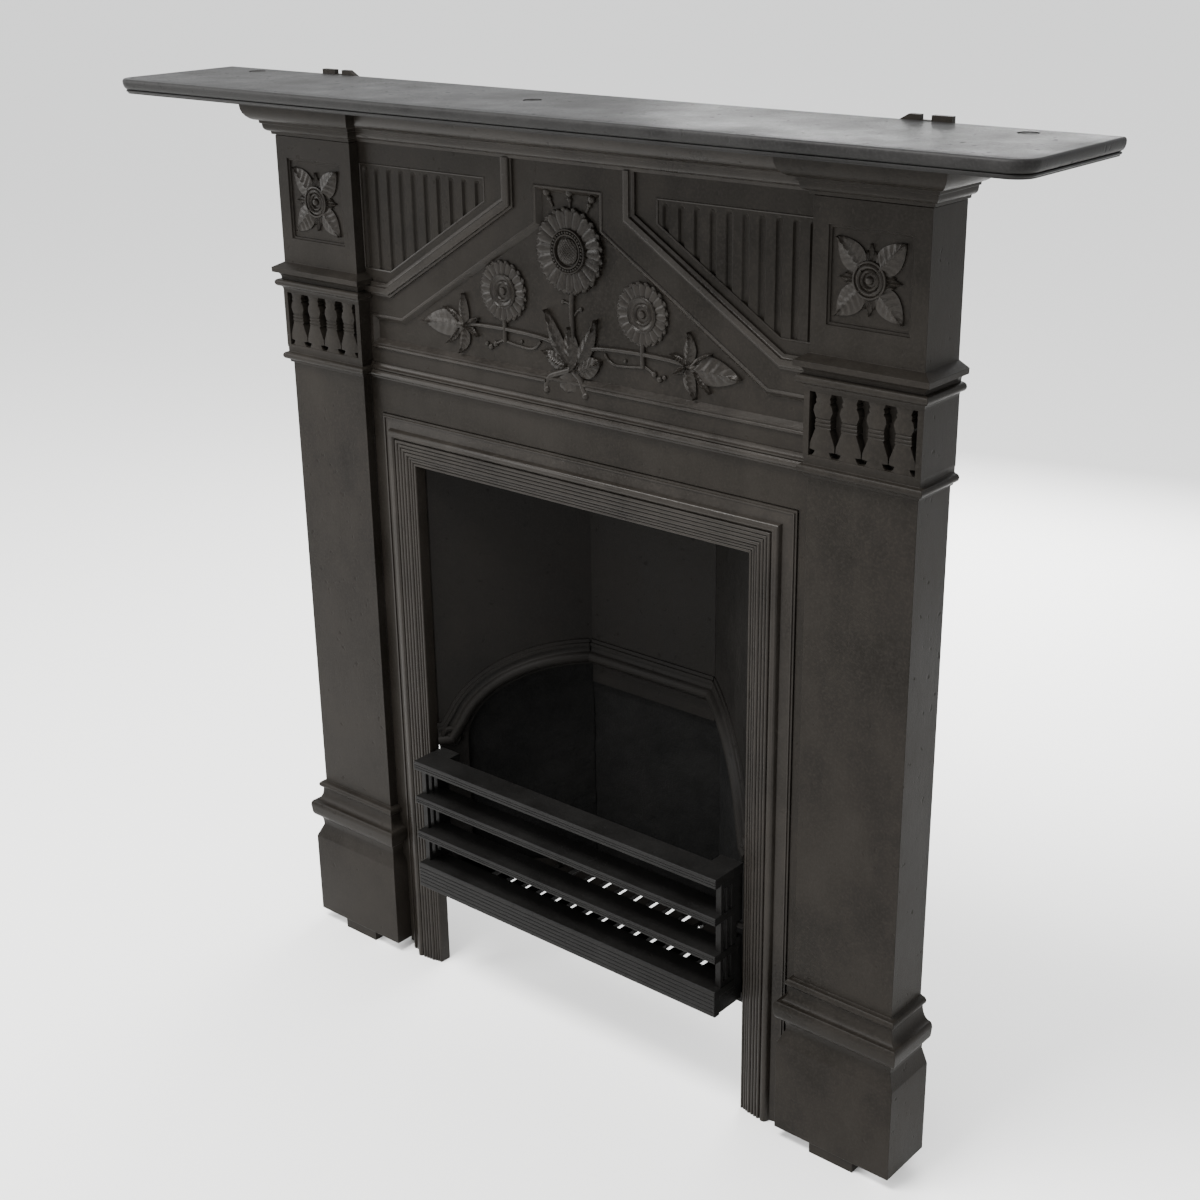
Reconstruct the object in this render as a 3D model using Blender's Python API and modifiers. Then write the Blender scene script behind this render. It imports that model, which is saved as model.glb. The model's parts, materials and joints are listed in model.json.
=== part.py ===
"""A cast-iron bedroom fireplace: a surround with a shelf, a splayed fire chamber with firebricks, a barred
grate and a smoke hood with a hinged damper. Metres, +Z up, the front faces -Y. While it is drawn, the back of
the surround is y = 0."""

import math

import bmesh
import bpy
from mathutils import Matrix, Vector

GAP = 0.0003  # clearance between pieces that touch

# Shelf
SHELF_HALF = 0.4975
SHELF_FRONT = -0.146
SHELF_TOP = 0.945
SHELF_THICK = 0.014
SHELF_CORNER_R = 0.020
SHELF_UNDER = SHELF_TOP - SHELF_THICK

# Pilasters, hollow castings that are open at the back
PILASTER_X = 0.3195
SHAFT_HALF = 0.0524
SHAFT_FRONT = -0.0506
SHAFT_IN = PILASTER_X - SHAFT_HALF
WALL = 0.007
PLINTH_BOTTOM = 0.0114
PLINTH_TOP = 0.1075
BASE_TOP = 0.1764
ASTRAGAL_BOTTOM = 0.6605
BALUSTERS_BOTTOM = 0.6765
BALUSTERS_TOP = 0.7348
BLOCK_BOTTOM = 0.765
CORNICE_BOTTOM = 0.890
PLINTH_PROUD = 0.0105
BASE_LIP_PROUD = 0.0135
BALUSTERS_PROUD = 0.0035
CAP_PROUD = 0.011
BLOCK_PROUD = 0.001
CORNICE_PROUD = 0.027
BLOCK_PANEL = 0.075  # side of the square panel sunk in the upper block
BLOCK_PANEL_DEEP = 0.004
BALUSTER_PITCH = 0.0245
BALUSTER_HALF = 0.0075
BALUSTER_RECESS = 0.0045
FOOT_HALF = 0.024
FOOT_DEEP = 0.026
WEB_FRONT = -0.0105  # front of the web that the lug is bolted to

# Frieze plate between the pilasters
FRIEZE_FRONT = -0.040
FRIEZE_THICK = 0.0065
FRIEZE_HALF = SHAFT_IN - 0.0005
FRIEZE_BOTTOM = 0.6245
FRIEZE_LEG_BOTTOM = PLINTH_BOTTOM  # narrow legs run down beside the opening's frame
RELIEF_HALF = SHAFT_IN - BASE_LIP_PROUD + 0.0015  # mouldings on the frieze stop short of the cap's side
STRING_LOW, STRING_HIGH = 0.660, 0.674
BAND_WIDTH = 0.012
BAND_PROUD = 0.005
GABLE = ((0.2555, 0.7500), (0.2330, 0.7500), (0.0710, 0.8505), (0.0710, 0.8895))  # centre line of the band
FLUTE_DEEP = 0.003

# Moulded frame round the opening: points run outwards from the opening's edge
OPENING_HALF = 0.205
OPENING_TOP = 0.577
FRAME_BACK = -0.032
FLANGE_BACK, FLANGE_FRONT = -0.0268, -0.0328
MOULDING_WIDTH = 0.047
FLANGE_WIDTH = 0.0608

# Fire chamber: each cheek runs back from the frame to the corner of the fireback
CHEEK_FRONT = Vector((0.2045, -0.0315))
CHEEK_BACK = Vector((0.0800, 0.0760))
PLATE = 0.005
CHAMBER_BOTTOM = 0.1205
CHAMBER_TOP = 0.616
ARCH_KNEE = 0.268
ARCH_CROWN = 0.356
ARCH_FOOT = 0.031  # width of the cheek's foot, in front of the firebrick
MOULD_HIGH = 0.022
MOULD_PROUD = 0.006
BRICK = 0.022
BRICK_TOP = 0.372
BACK_BRICK_HALF = 0.0995

# Smoke hood and damper
HOOD_BOTTOM = CHAMBER_TOP + GAP
HOOD_FRONT_HALF, HOOD_FRONT = 0.1930, -0.0105
HOOD_BACK_HALF, HOOD_BACK = 0.0815, 0.0810
HOOD_TAIL_HALF = 0.060
HOOD_TAIL_BACK = 0.0856
EAR_X, EAR_THICK = 0.066, 0.006
FLAP_HALF, BARREL_HALF = 0.080, 0.060
PIN_HALF = 0.0730
THROAT_BOTTOM = 0.700
THROAT_TOP = 0.716
THROAT_HALF = 0.080
THROAT_FRONT, THROAT_BACK = -0.004, 0.066
HOOD_WALL = 0.0045
HINGE_Y, HINGE_Z = 0.0745, 0.7235
PIN_R = 0.0028
BARREL_R = 0.0055
FLAP_THICK = 0.004

# Grate
GRATE_HALF = 0.197
BAR_FRONT, BAR_BACK = -0.078, -0.045
BAR_TOPS = (0.265, 0.2240, 0.1830)
BAR_HIGH = 0.0100
RAIL_LOW, RAIL_TOP = 0.116, 0.1445
RAIL_THICK = 0.008
END_BACK = -0.0345
STUD_Y, STUD_Z, STUD_R = -0.0390, 0.2000, 0.003
BOTTOM_GRATE_TOP = 0.127
BOTTOM_GRATE_THICK = 0.0065
SLOTS = 14
SLOT_PITCH = 0.0213
SLOT_WIDTH = 0.0090

BEARER_REAR = 0.1035
BEARER_THICK = 0.011
BEARER_EAR_OUT, BEARER_EAR_IN, BEARER_EAR_BACK = 0.2360, 0.2150, -0.0200

# Lugs that fix the surround to the wall
LUG_X = 0.330
LUG_HALF = 0.025
LUG_BOTTOM = 0.886
LUG_RISE = 0.0045  # above the shelf's top
LUG_NOTCH = 0.0040
LUG_THICK = 0.005

CENTRE_SHIFT = (-SHELF_FRONT - BEARER_REAR) / 2  # puts the middle of the depth at y = 0

# Fasteners
BOLT_R = 0.003
HEAD_R = 0.0062
HEAD_HIGH = 0.0045
SHELF_BOLT_Y = -0.028
LUG_BOLT_Z = 0.905
FRAME_BOLT_X, FRAME_BOLT_Z = 0.150, 0.6300
CHEEK_BOLT_X = 0.2220
CHEEK_BOLTS = (("lower", 0.330), ("upper", 0.560))
BEARER_BOLT_X, BEARER_BOLT_Z = 0.2255, 0.1147
HOOD_BOLT_X, HOOD_BOLT_Z = 0.045, 0.6060
SCREWS = (("left", -0.430, -0.020), ("middle", -0.020, -0.060), ("right", 0.430, -0.020))  # (word, x, y)

for old in list(bpy.data.objects):
    bpy.data.objects.remove(old, do_unlink=True)


def collection(name):
    made = bpy.data.collections.new(name)
    bpy.context.scene.collection.children.link(made)
    return made


PARTS = collection("fireplace")
CUTTERS = collection("cutters")


def material(name, colour, roughness, metallic):
    made = bpy.data.materials.new(name)
    made.use_nodes = True
    shader = made.node_tree.nodes["Principled BSDF"]
    shader.inputs["Base Color"].default_value = (*colour, 1)
    shader.inputs["Roughness"].default_value = roughness
    shader.inputs["Metallic"].default_value = metallic
    made.diffuse_color = (*colour, 1)
    return made


POLISHED_IRON = material("polished_iron", (0.045, 0.042, 0.039), 0.42, 0.85)
SOOTED_IRON = material("sooted_iron", (0.020, 0.019, 0.018), 0.75, 0.4)
FIRECLAY = material("fireclay", (0.028, 0.026, 0.024), 0.95, 0.0)
STEEL = material("steel", (0.16, 0.15, 0.14), 0.5, 0.9)


def mesh_object(name, mesh, finish=None):
    """A part of the fireplace, or with no finish a hidden helper for a Boolean."""
    made = bpy.data.objects.new(name, mesh)
    if finish is None:
        CUTTERS.objects.link(made)
        made.hide_render = True
        made.display_type = "WIRE"
    else:
        PARTS.objects.link(made)
        mesh.materials.append(finish)
    return made


def from_bmesh(name, bm, finish=None):
    bmesh.ops.remove_doubles(bm, verts=bm.verts, dist=1e-6)
    bmesh.ops.recalc_face_normals(bm, faces=bm.faces)
    mesh = bpy.data.meshes.new(name)
    bm.to_mesh(mesh)
    bm.free()
    return mesh_object(name, mesh, finish)


def box(name, low, high, finish=None):
    low, high = Vector(low), Vector(high)
    bm = bmesh.new()
    place = Matrix.Translation((low + high) / 2) @ Matrix.Diagonal((*(high - low), 1))
    bmesh.ops.create_cube(bm, size=1, matrix=place)
    return from_bmesh(name, bm, finish)


def rod(name, start, end, radius, finish=None, segments=16, end_radius=None):
    """A round bar, or a cone where end_radius is given."""
    start, end = Vector(start), Vector(end)
    run = end - start
    bm = bmesh.new()
    place = Matrix.Translation((start + end) / 2) @ run.to_track_quat("Z", "Y").to_matrix().to_4x4()
    bmesh.ops.create_cone(bm, cap_ends=True, segments=segments, radius1=radius,
                          radius2=radius if end_radius is None else end_radius, depth=run.length, matrix=place)
    return from_bmesh(name, bm, finish)


def loft(name, sections, finish=None):
    """A solid through closed loops that have the same number of points."""
    bm = bmesh.new()
    loops = [[bm.verts.new(point) for point in section] for section in sections]
    for lower, upper in zip(loops, loops[1:]):
        for i in range(len(lower)):
            j = (i + 1) % len(lower)
            bm.faces.new((lower[i], lower[j], upper[j], upper[i]))
    bm.faces.new(loops[0])
    bm.faces.new(reversed(loops[-1]))
    return from_bmesh(name, bm, finish)


def slab(name, outlines, thickness, place, finish=None):
    """A flat plate from a 2D curve. The first outline is its edge and the others are holes."""
    curve = bpy.data.curves.new(name, "CURVE")
    curve.dimensions = "2D"
    curve.fill_mode = "BOTH"
    curve.extrude = thickness / 2
    for outline in outlines:
        spline = curve.splines.new("POLY")
        spline.points.add(len(outline) - 1)
        for point, (a, b) in zip(spline.points, outline):
            point.co = (a, b, 0, 1)
        spline.use_cyclic_u = True
    guide = bpy.data.objects.new(name + "_outline", curve)
    CUTTERS.objects.link(guide)
    bpy.context.view_layer.update()
    mesh = bpy.data.meshes.new_from_object(guide.evaluated_get(bpy.context.evaluated_depsgraph_get()))
    bpy.data.objects.remove(guide)
    bm = bmesh.new()
    bm.from_mesh(mesh)
    bpy.data.meshes.remove(mesh)
    bm.transform(place)
    return from_bmesh(name, bm, finish)


def upright(y):
    """Places a slab drawn in x and z so that its middle lies at y."""
    return Matrix.Translation((0, y, 0)) @ Matrix.Rotation(math.pi / 2, 4, "X")


def level(z):
    """Places a slab drawn in x and y so that its middle lies at z."""
    return Matrix.Translation((0, 0, z))


def boolean(target, other, operation):
    modifier = target.modifiers.new(other.name, "BOOLEAN")
    modifier.operation = operation
    modifier.solver = "EXACT"
    modifier.object = other
    return target


def cut(target, *cutters):
    for cutter in cutters:
        boolean(target, cutter, "DIFFERENCE")
    return target


def join(target, *pieces):
    for piece in pieces:
        boolean(target, piece, "UNION")
    return target


def set_origin(piece, point):
    """Puts the object's origin on its joint and leaves the shape where it is."""
    piece.data.transform(Matrix.Translation(-Vector(point)))
    piece.location = point
    return piece


def mirrored(points):
    """An outline's right half, bottom to top, closed with its mirror image."""
    return list(points) + [(-a, b) for a, b in reversed(points)]


def arc(centre, radius, start, end, steps):
    """Points on an arc between two angles in degrees."""
    angles = [math.radians(start + (end - start) * i / steps) for i in range(steps + 1)]
    return [(centre[0] + radius * math.cos(a), centre[1] + radius * math.sin(a)) for a in angles]


def bolt(name, seat, axis, length):
    """A hexagon bolt. Its head stands on the seat and its shank runs along axis. Returns it and its hole."""
    seat, axis = Vector(seat), Vector(axis).normalized()
    head_start = seat - axis * (HEAD_HIGH + GAP)
    piece = rod(name, head_start, seat - axis * GAP, HEAD_R, STEEL, 6)
    shank = rod(name + "_shank", seat - axis * (GAP + 0.001), seat + axis * length, BOLT_R, None, 12)
    hole = rod(name + "_hole", seat - axis * 0.002, seat + axis * (length + 0.0005), BOLT_R + GAP, None, 12)
    return join(piece, shank), hole


def cornice_steps():
    """(height, projection) up the cornice: fillet, small ovolo, fillet, large ovolo, fillet."""
    return (
        (CORNICE_BOTTOM + 0.0005, 0.004), (CORNICE_BOTTOM + 0.004, 0.004),
        (CORNICE_BOTTOM + 0.009, 0.009), (CORNICE_BOTTOM + 0.012, 0.011),
        (CORNICE_BOTTOM + 0.015, 0.011), (CORNICE_BOTTOM + 0.020, 0.018),
        (CORNICE_BOTTOM + 0.028, 0.0235), (CORNICE_BOTTOM + 0.036, 0.0255),
        (CORNICE_BOTTOM + 0.0365, CORNICE_PROUD), (SHELF_UNDER - GAP, CORNICE_PROUD),
    )


def pilaster_steps():
    """(height, projection from the shaft) up a pilaster, from plinth to cornice."""
    lower = (
        (PLINTH_BOTTOM, PLINTH_PROUD), (PLINTH_TOP, PLINTH_PROUD), (0.118, 0.0060), (0.131, 0.0060),
        (0.138, 0.0125), (0.147, BASE_LIP_PROUD), (0.158, 0.0070), (0.1675, 0.0030),
        (0.1685, 0.0050), (0.1755, 0.0050), (BASE_TOP, 0.0),
    )
    middle = (
        (ASTRAGAL_BOTTOM, 0.0), (0.6610, 0.0030), (0.6635, 0.0030), (0.6650, 0.0065), (0.6705, 0.0065),
        (0.6720, 0.0035), (BALUSTERS_BOTTOM, BALUSTERS_PROUD), (BALUSTERS_TOP, BALUSTERS_PROUD),
    )
    cap = (
        (0.7385, 0.0060), (0.7420, 0.0075), (0.7475, 0.0075), (0.7485, 0.0050), (0.7535, 0.0080),
        (0.7545, CAP_PROUD), (0.7590, CAP_PROUD), (BLOCK_BOTTOM, BLOCK_PROUD),
    )
    return lower + middle + cap + ((CORNICE_BOTTOM, BLOCK_PROUD),) + cornice_steps()


def make_pilaster(word, side):
    side_stop = FRIEZE_FRONT - GAP
    hollow_in, hollow_out = PILASTER_X - SHAFT_HALF + WALL, PILASTER_X + SHAFT_HALF - WALL
    hollow_front = SHAFT_FRONT + WALL

    def section(z, proud):
        inner, outer, front = SHAFT_IN - proud, PILASTER_X + SHAFT_HALF + proud, SHAFT_FRONT - proud
        plan = ((outer, 0), (outer, front), (inner, front), (inner, side_stop), (SHAFT_IN, side_stop),
                (SHAFT_IN, 0), (hollow_in, 0), (hollow_in, hollow_front), (hollow_out, hollow_front),
                (hollow_out, 0))
        return [(side * x, y, z) for x, y in plan]

    piece = loft(word + "_pilaster", [section(z, p) for z, p in pilaster_steps()], POLISHED_IRON)

    def part_box(suffix, x_low, x_high, y_low, y_high, z_low, z_high):
        xs = sorted((side * x_low, side * x_high))
        return box(piece.name + suffix, (xs[0], y_low, z_low), (xs[1], y_high, z_high))

    middle = PILASTER_X
    foot = part_box("_foot", middle - FOOT_HALF, middle + FOOT_HALF, SHAFT_FRONT - PLINTH_PROUD + 0.0015,
                    SHAFT_FRONT - PLINTH_PROUD + FOOT_DEEP, 0.0, PLINTH_BOTTOM + 0.012)
    heel = part_box("_heel", SHAFT_IN + 0.0006, SHAFT_IN + WALL - 0.0006, -0.022, -0.0005, 0.0, 0.060)
    top = part_box("_top", hollow_in - 0.003, hollow_out + 0.003, hollow_front - 0.003, -0.0005,
                   SHELF_UNDER - 0.009, SHELF_UNDER - 0.0015)
    web = part_box("_web", hollow_in - 0.003, hollow_out + 0.003, WEB_FRONT, -0.0004, 0.884,
                   SHELF_UNDER - 0.004)
    join(piece, foot, heel, top, web)

    wedge = slab(piece.name + "_heel_cut", [[(-0.0155, -0.01), (-0.0155, 0.0086), (-0.008, 0.0225),
                                             (0.002, 0.0290), (0.002, -0.01)]], 0.030,
                 Matrix.Translation((side * (PILASTER_X + SHAFT_HALF + 0.004), 0, 0))
                 @ Matrix(((0, 0, 1, 0), (1, 0, 0, 0), (0, 1, 0, 0), (0, 0, 0, 1))))
    front = SHAFT_FRONT - BLOCK_PROUD
    centre_z = (BLOCK_BOTTOM + CORNICE_BOTTOM) / 2 + 0.001
    panel = part_box("_panel", middle - BLOCK_PANEL / 2, middle + BLOCK_PANEL / 2, front - 0.01,
                     front + BLOCK_PANEL_DEEP, centre_z - BLOCK_PANEL / 2, centre_z + BLOCK_PANEL / 2)
    cut(piece, wedge, panel)
    row_front = SHAFT_FRONT - BALUSTERS_PROUD
    edges = [-2 * BALUSTER_PITCH - 0.002] + [i * BALUSTER_PITCH for i in (-1.5, -0.5, 0.5, 1.5)]
    edges.append(2 * BALUSTER_PITCH + 0.002)
    for i, (low, high) in enumerate(zip(edges, edges[1:])):
        start = low if i == 0 else low + BALUSTER_HALF
        stop = high if i == len(edges) - 2 else high - BALUSTER_HALF
        cut(piece, part_box(f"_recess_{i}", middle + start, middle + stop, row_front - 0.01,
                            row_front + BALUSTER_RECESS, BALUSTERS_BOTTOM + 0.003, BALUSTERS_TOP - 0.002))
    return piece


def make_shelf():
    """The shelf, with its two front corners rounded and a moulded front edge."""
    right = [(SHELF_HALF, 0.0)]
    centre = (SHELF_HALF - SHELF_CORNER_R, SHELF_FRONT + SHELF_CORNER_R)
    right += arc(centre, SHELF_CORNER_R, 0, -90, 6)
    outline = mirrored(right)
    shelf = slab("mantel_shelf", [outline], SHELF_THICK, level(SHELF_TOP - SHELF_THICK / 2), POLISHED_IRON)
    edge = shelf.modifiers.new("edge", "BEVEL")
    edge.width = 0.0025
    edge.segments = 2
    edge.limit_method = "ANGLE"
    return shelf


def make_frieze():
    """The plate over the opening: string moulding, gable-shaped band, sunk fluted corners and a cornice."""
    narrow = SHAFT_IN - CORNICE_PROUD - 0.0006
    leg_in = OPENING_HALF + MOULDING_WIDTH + 0.0005
    outline = mirrored([(leg_in, FRIEZE_BOTTOM), (leg_in, FRIEZE_LEG_BOTTOM), (FRIEZE_HALF, FRIEZE_LEG_BOTTOM),
                        (FRIEZE_HALF, SHELF_UNDER - GAP)])
    frieze = slab("frieze_plate", [outline], FRIEZE_THICK, upright(FRIEZE_FRONT + FRIEZE_THICK / 2),
                  POLISHED_IRON)
    bite = 0.002

    def bar(name, steps):
        """A moulding along x. Steps are (height, projection) from the plate's face."""
        closed = [(z, FRIEZE_FRONT - p) for z, p in steps]
        closed += [(steps[-1][0], FRIEZE_FRONT + bite), (steps[0][0], FRIEZE_FRONT + bite)]
        half = narrow - 0.0002 if name == "frieze_cornice" else RELIEF_HALF
        return loft(name, [[(x, y, z) for z, y in closed] for x in (-half, half)])

    middle = (STRING_LOW + STRING_HIGH) / 2
    flat, bead = 0.003, 0.008  # projections of the string's two fillets and of the bead between them
    string = bar("frieze_string", ((STRING_LOW, flat), (STRING_LOW + 0.003, flat), (STRING_LOW + 0.004, bead),
                                   (middle + 0.003, bead), (middle + 0.004, flat), (STRING_HIGH, flat)))
    cornice = bar("frieze_cornice", cornice_steps())
    join(frieze, string, cornice)
    half = BAND_WIDTH / 2
    slope = math.atan2(GABLE[2][1] - GABLE[1][1], GABLE[1][0] - GABLE[2][0])
    run = half * math.tan(slope / 2)
    rise = half * math.tan((math.pi / 2 - slope) / 2)
    outer = [(GABLE[0][0], GABLE[0][1] + half), (GABLE[1][0] - run, GABLE[1][1] + half),
             (GABLE[2][0] + half, GABLE[2][1] + rise), (GABLE[3][0] + half, GABLE[3][1])]
    inner = [(GABLE[3][0] - half, GABLE[3][1]), (GABLE[2][0] - half, GABLE[2][1] - rise),
             (GABLE[1][0] + run, GABLE[1][1] - half), (GABLE[0][0], GABLE[0][1] - half)]
    for word, side in (("left", -1), ("right", 1)):
        band = slab(word + "_band", [[(side * a, b) for a, b in outer + inner]], BAND_PROUD + bite,
                    upright(FRIEZE_FRONT - BAND_PROUD + (BAND_PROUD + bite) / 2))
        join(frieze, band)
        margin = 0.006
        sunk = [(side * outer[0][0], outer[0][1] + margin),
                (side * (outer[1][0] - 0.002), outer[1][1] + margin),
                (side * (outer[2][0] + margin), outer[2][1] + margin + 0.001),
                (side * (outer[3][0] + margin), CORNICE_BOTTOM - 0.012),
                (side * outer[0][0], CORNICE_BOTTOM - 0.012)]
        cut(frieze, slab(word + "_flutes", [sunk], FLUTE_DEEP + 0.01, upright(FRIEZE_FRONT + FLUTE_DEEP
                                                                             - (FLUTE_DEEP + 0.01) / 2)))
    return frieze


def make_frame():
    """The moulded frame round the opening, mitred at its top corners, with legs that stand on the floor."""
    profile = ((0.0, FRAME_BACK), (0.0, -0.0465), (0.0070, -0.0470), (0.0150, -0.0480), (0.0210, -0.0490),
               (0.0300, -0.0490), (0.0335, -0.0460), (0.0440, -0.0415), (MOULDING_WIDTH, -0.0415),
               (MOULDING_WIDTH, FLANGE_FRONT), (FLANGE_WIDTH, FLANGE_FRONT), (FLANGE_WIDTH, FLANGE_BACK),
               (0.0400, FLANGE_BACK), (0.0400, FRAME_BACK))

    def section(station):
        points = []
        for out, y in profile:
            x, z = OPENING_HALF + out, OPENING_TOP + out
            points.append({"foot_l": (-x, y, 0.0), "left": (-x, y, z), "right": (x, y, z),
                           "foot_r": (x, y, 0.0)}[station])
        return points

    return loft("opening_frame", [section(s) for s in ("foot_l", "left", "right", "foot_r")], POLISHED_IRON)


def cheek_frame(side):
    """Places a slab drawn in (distance along the cheek, height): +z of the slab is the way out of the fire."""
    along = (CHEEK_BACK - CHEEK_FRONT).normalized()
    x_axis = Vector((side * along.x, along.y, 0))
    z_axis = Vector((side * along.y, -along.x, 0))
    return Matrix((
        (x_axis.x, 0, z_axis.x, side * CHEEK_FRONT.x),
        (x_axis.y, 0, z_axis.y, CHEEK_FRONT.y),
        (0, 1, 0, 0),
        (0, 0, 0, 1),
    ))


CHEEK_LENGTH = (CHEEK_BACK - CHEEK_FRONT).length


def arch_line(grow=0.0, steps=8):
    """The arch over a firebrick, from its knee by the grate up to its crown at the back corner."""
    rise, run = ARCH_CROWN - ARCH_KNEE, CHEEK_LENGTH - ARCH_FOOT
    points = []
    for i in range(steps + 1):
        turn = math.radians(90 * i / steps)
        across = CHEEK_LENGTH - (run + grow) * math.cos(turn)
        points.append((across, ARCH_KNEE + (rise + grow) * math.sin(turn)))
    return points


def make_cheek(word, side):
    """A splayed side of the fire chamber, cut out under an arch where its firebrick shows."""
    place = cheek_frame(side)
    outline = [(0.0, CHAMBER_BOTTOM), (ARCH_FOOT, CHAMBER_BOTTOM)] + arch_line()
    outline += [(CHEEK_LENGTH, CHAMBER_TOP), (0.0, CHAMBER_TOP)]
    cheek = slab(word + "_cheek", [outline], PLATE, place @ Matrix.Translation((0, 0, PLATE / 2)), SOOTED_IRON)
    under = arch_line(0.0)
    over = arch_line(MOULD_HIGH)
    over = [point for point in over if point[0] > 0.012]
    trim = 0.008
    ribbon = [point for point in under if point[0] < CHEEK_LENGTH - trim]
    crown_low, crown_high = ARCH_CROWN - 0.0002, ARCH_CROWN + MOULD_HIGH - 0.0006
    ribbon.append((CHEEK_LENGTH - trim, crown_low))
    ribbon.append((CHEEK_LENGTH - trim, crown_high))
    ribbon += [point for point in reversed(over) if point[0] < CHEEK_LENGTH - trim]
    bite = 0.002
    rib = slab(word + "_arch_rib", [ribbon], MOULD_PROUD + bite,
               place @ Matrix.Translation((0, 0, bite - (MOULD_PROUD + bite) / 2)))
    xs = sorted((side * (CHEEK_FRONT.x - 0.001), side * (CHEEK_FRONT.x + 0.0270)))
    flange = box(word + "_cheek_flange", (xs[0], CHEEK_FRONT.y, 0.285), (xs[1], CHEEK_FRONT.y + PLATE, 0.612))
    return join(cheek, rib, flange)


def make_fireback():
    """The upright plate at the back of the chamber, above the back firebrick, with the moulding on its edge."""
    half = CHEEK_BACK.x - 0.0006
    y = CHEEK_BACK.y
    plate = box("fireback_plate", (-half, y, ARCH_CROWN), (half, y + PLATE, CHAMBER_TOP), SOOTED_IRON)
    rib_half = half - 0.0085
    rib = box("fireback_rib", (-rib_half, y - MOULD_PROUD, ARCH_CROWN + 0.0003),
              (rib_half, y + 0.002, ARCH_CROWN + MOULD_HIGH))
    return join(plate, rib)


def make_side_brick(word, side):
    """A firebrick behind a cheek's arch. It butts against the face of the back firebrick."""
    along = (CHEEK_BACK - CHEEK_FRONT).normalized()
    out = Vector((along.y, -along.x))
    stop_y = CHEEK_BACK.y + PLATE + 0.0002

    def reach(offset):
        """Where the line at this offset behind the cheek meets the back firebrick's face."""
        start = CHEEK_FRONT + out * offset
        return start + along * ((stop_y - start.y) / along.y)

    front, rear = PLATE + GAP, PLATE + GAP + BRICK
    begin = 0.016
    plan = [CHEEK_FRONT + out * front + along * begin, reach(front), reach(rear),
            CHEEK_FRONT + out * rear + along * begin]
    outline = [(side * p.x, p.y) for p in plan]
    return slab(word + "_firebrick", [outline], BRICK_TOP - CHAMBER_BOTTOM,
                level((BRICK_TOP + CHAMBER_BOTTOM) / 2), FIRECLAY)


def make_back_brick():
    y = CHEEK_BACK.y + PLATE + 0.0005
    return box("back_firebrick", (-BACK_BRICK_HALF, y, CHAMBER_BOTTOM), (BACK_BRICK_HALF, y + BRICK, BRICK_TOP),
               FIRECLAY)


def make_bearer():
    """The flat ring that carries the bricks and the bottom grate, with an ear behind each leg of the frame."""
    top = CHAMBER_BOTTOM - GAP
    outer = mirrored([(BEARER_EAR_OUT, -0.0312), (BEARER_EAR_OUT, BEARER_EAR_BACK),
                      (BEARER_EAR_IN, BEARER_EAR_BACK), (BEARER_EAR_IN, -0.0040), (0.1150, BEARER_REAR)])
    inner = mirrored([(0.1740, -0.0200), (0.0620, 0.0660)])
    return slab("grate_bearer", [outer, inner], BEARER_THICK, level(top - BEARER_THICK / 2), SOOTED_IRON)


def make_hood():
    """The sloping hood over the chamber, its throat and the two ears that hold the damper's pin."""
    def ring(half_front, y_front, half_back, y_back, z):
        return [(-half_front, y_front, z), (half_front, y_front, z), (half_back, y_back, z),
                (-half_back, y_back, z)]

    def foot(shrink):
        """The hood's plan over the chamber. Its splayed sides need more shrinking than its front and back."""
        return (HOOD_FRONT_HALF - shrink * 1.6, HOOD_FRONT + shrink, HOOD_BACK_HALF - shrink * 0.6,
                HOOD_BACK - shrink)

    def shape(name, shrink, low, high, finish=None):
        return loft(name, [
            ring(*foot(shrink), low),
            ring(*foot(shrink), HOOD_BOTTOM + 0.006),
            ring(THROAT_HALF - shrink, THROAT_FRONT + shrink, THROAT_HALF - shrink, THROAT_BACK - shrink,
                 THROAT_BOTTOM),
            ring(THROAT_HALF - shrink, THROAT_FRONT + shrink, THROAT_HALF - shrink, THROAT_BACK - shrink, high),
        ], finish)

    hood = shape("smoke_hood", 0.0, HOOD_BOTTOM, THROAT_TOP, SOOTED_IRON)
    cut(hood, shape("hood_inside", HOOD_WALL, HOOD_BOTTOM - 0.004, THROAT_TOP + 0.004))
    tail = box("hood_tail", (-HOOD_TAIL_HALF, HOOD_BACK + 0.0006, 0.5960),
               (HOOD_TAIL_HALF, HOOD_TAIL_BACK, HOOD_BOTTOM + 0.0040))
    tie = box("hood_tail_tie", (-HOOD_TAIL_HALF, HOOD_BACK - 0.0030, HOOD_BOTTOM + 0.0001),
              (HOOD_TAIL_HALF, HOOD_TAIL_BACK - 0.0006, HOOD_BOTTOM + 0.0042))
    join(hood, tail, tie)
    for word, x in (("left", -EAR_X), ("right", EAR_X)):
        ear = box(word + "_ear", (x - EAR_THICK / 2, THROAT_BACK - 0.003, THROAT_BOTTOM - 0.003),
                  (x + EAR_THICK / 2, HINGE_Y + 0.007, HINGE_Z + 0.0070))
        join(hood, ear)
    return hood


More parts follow.
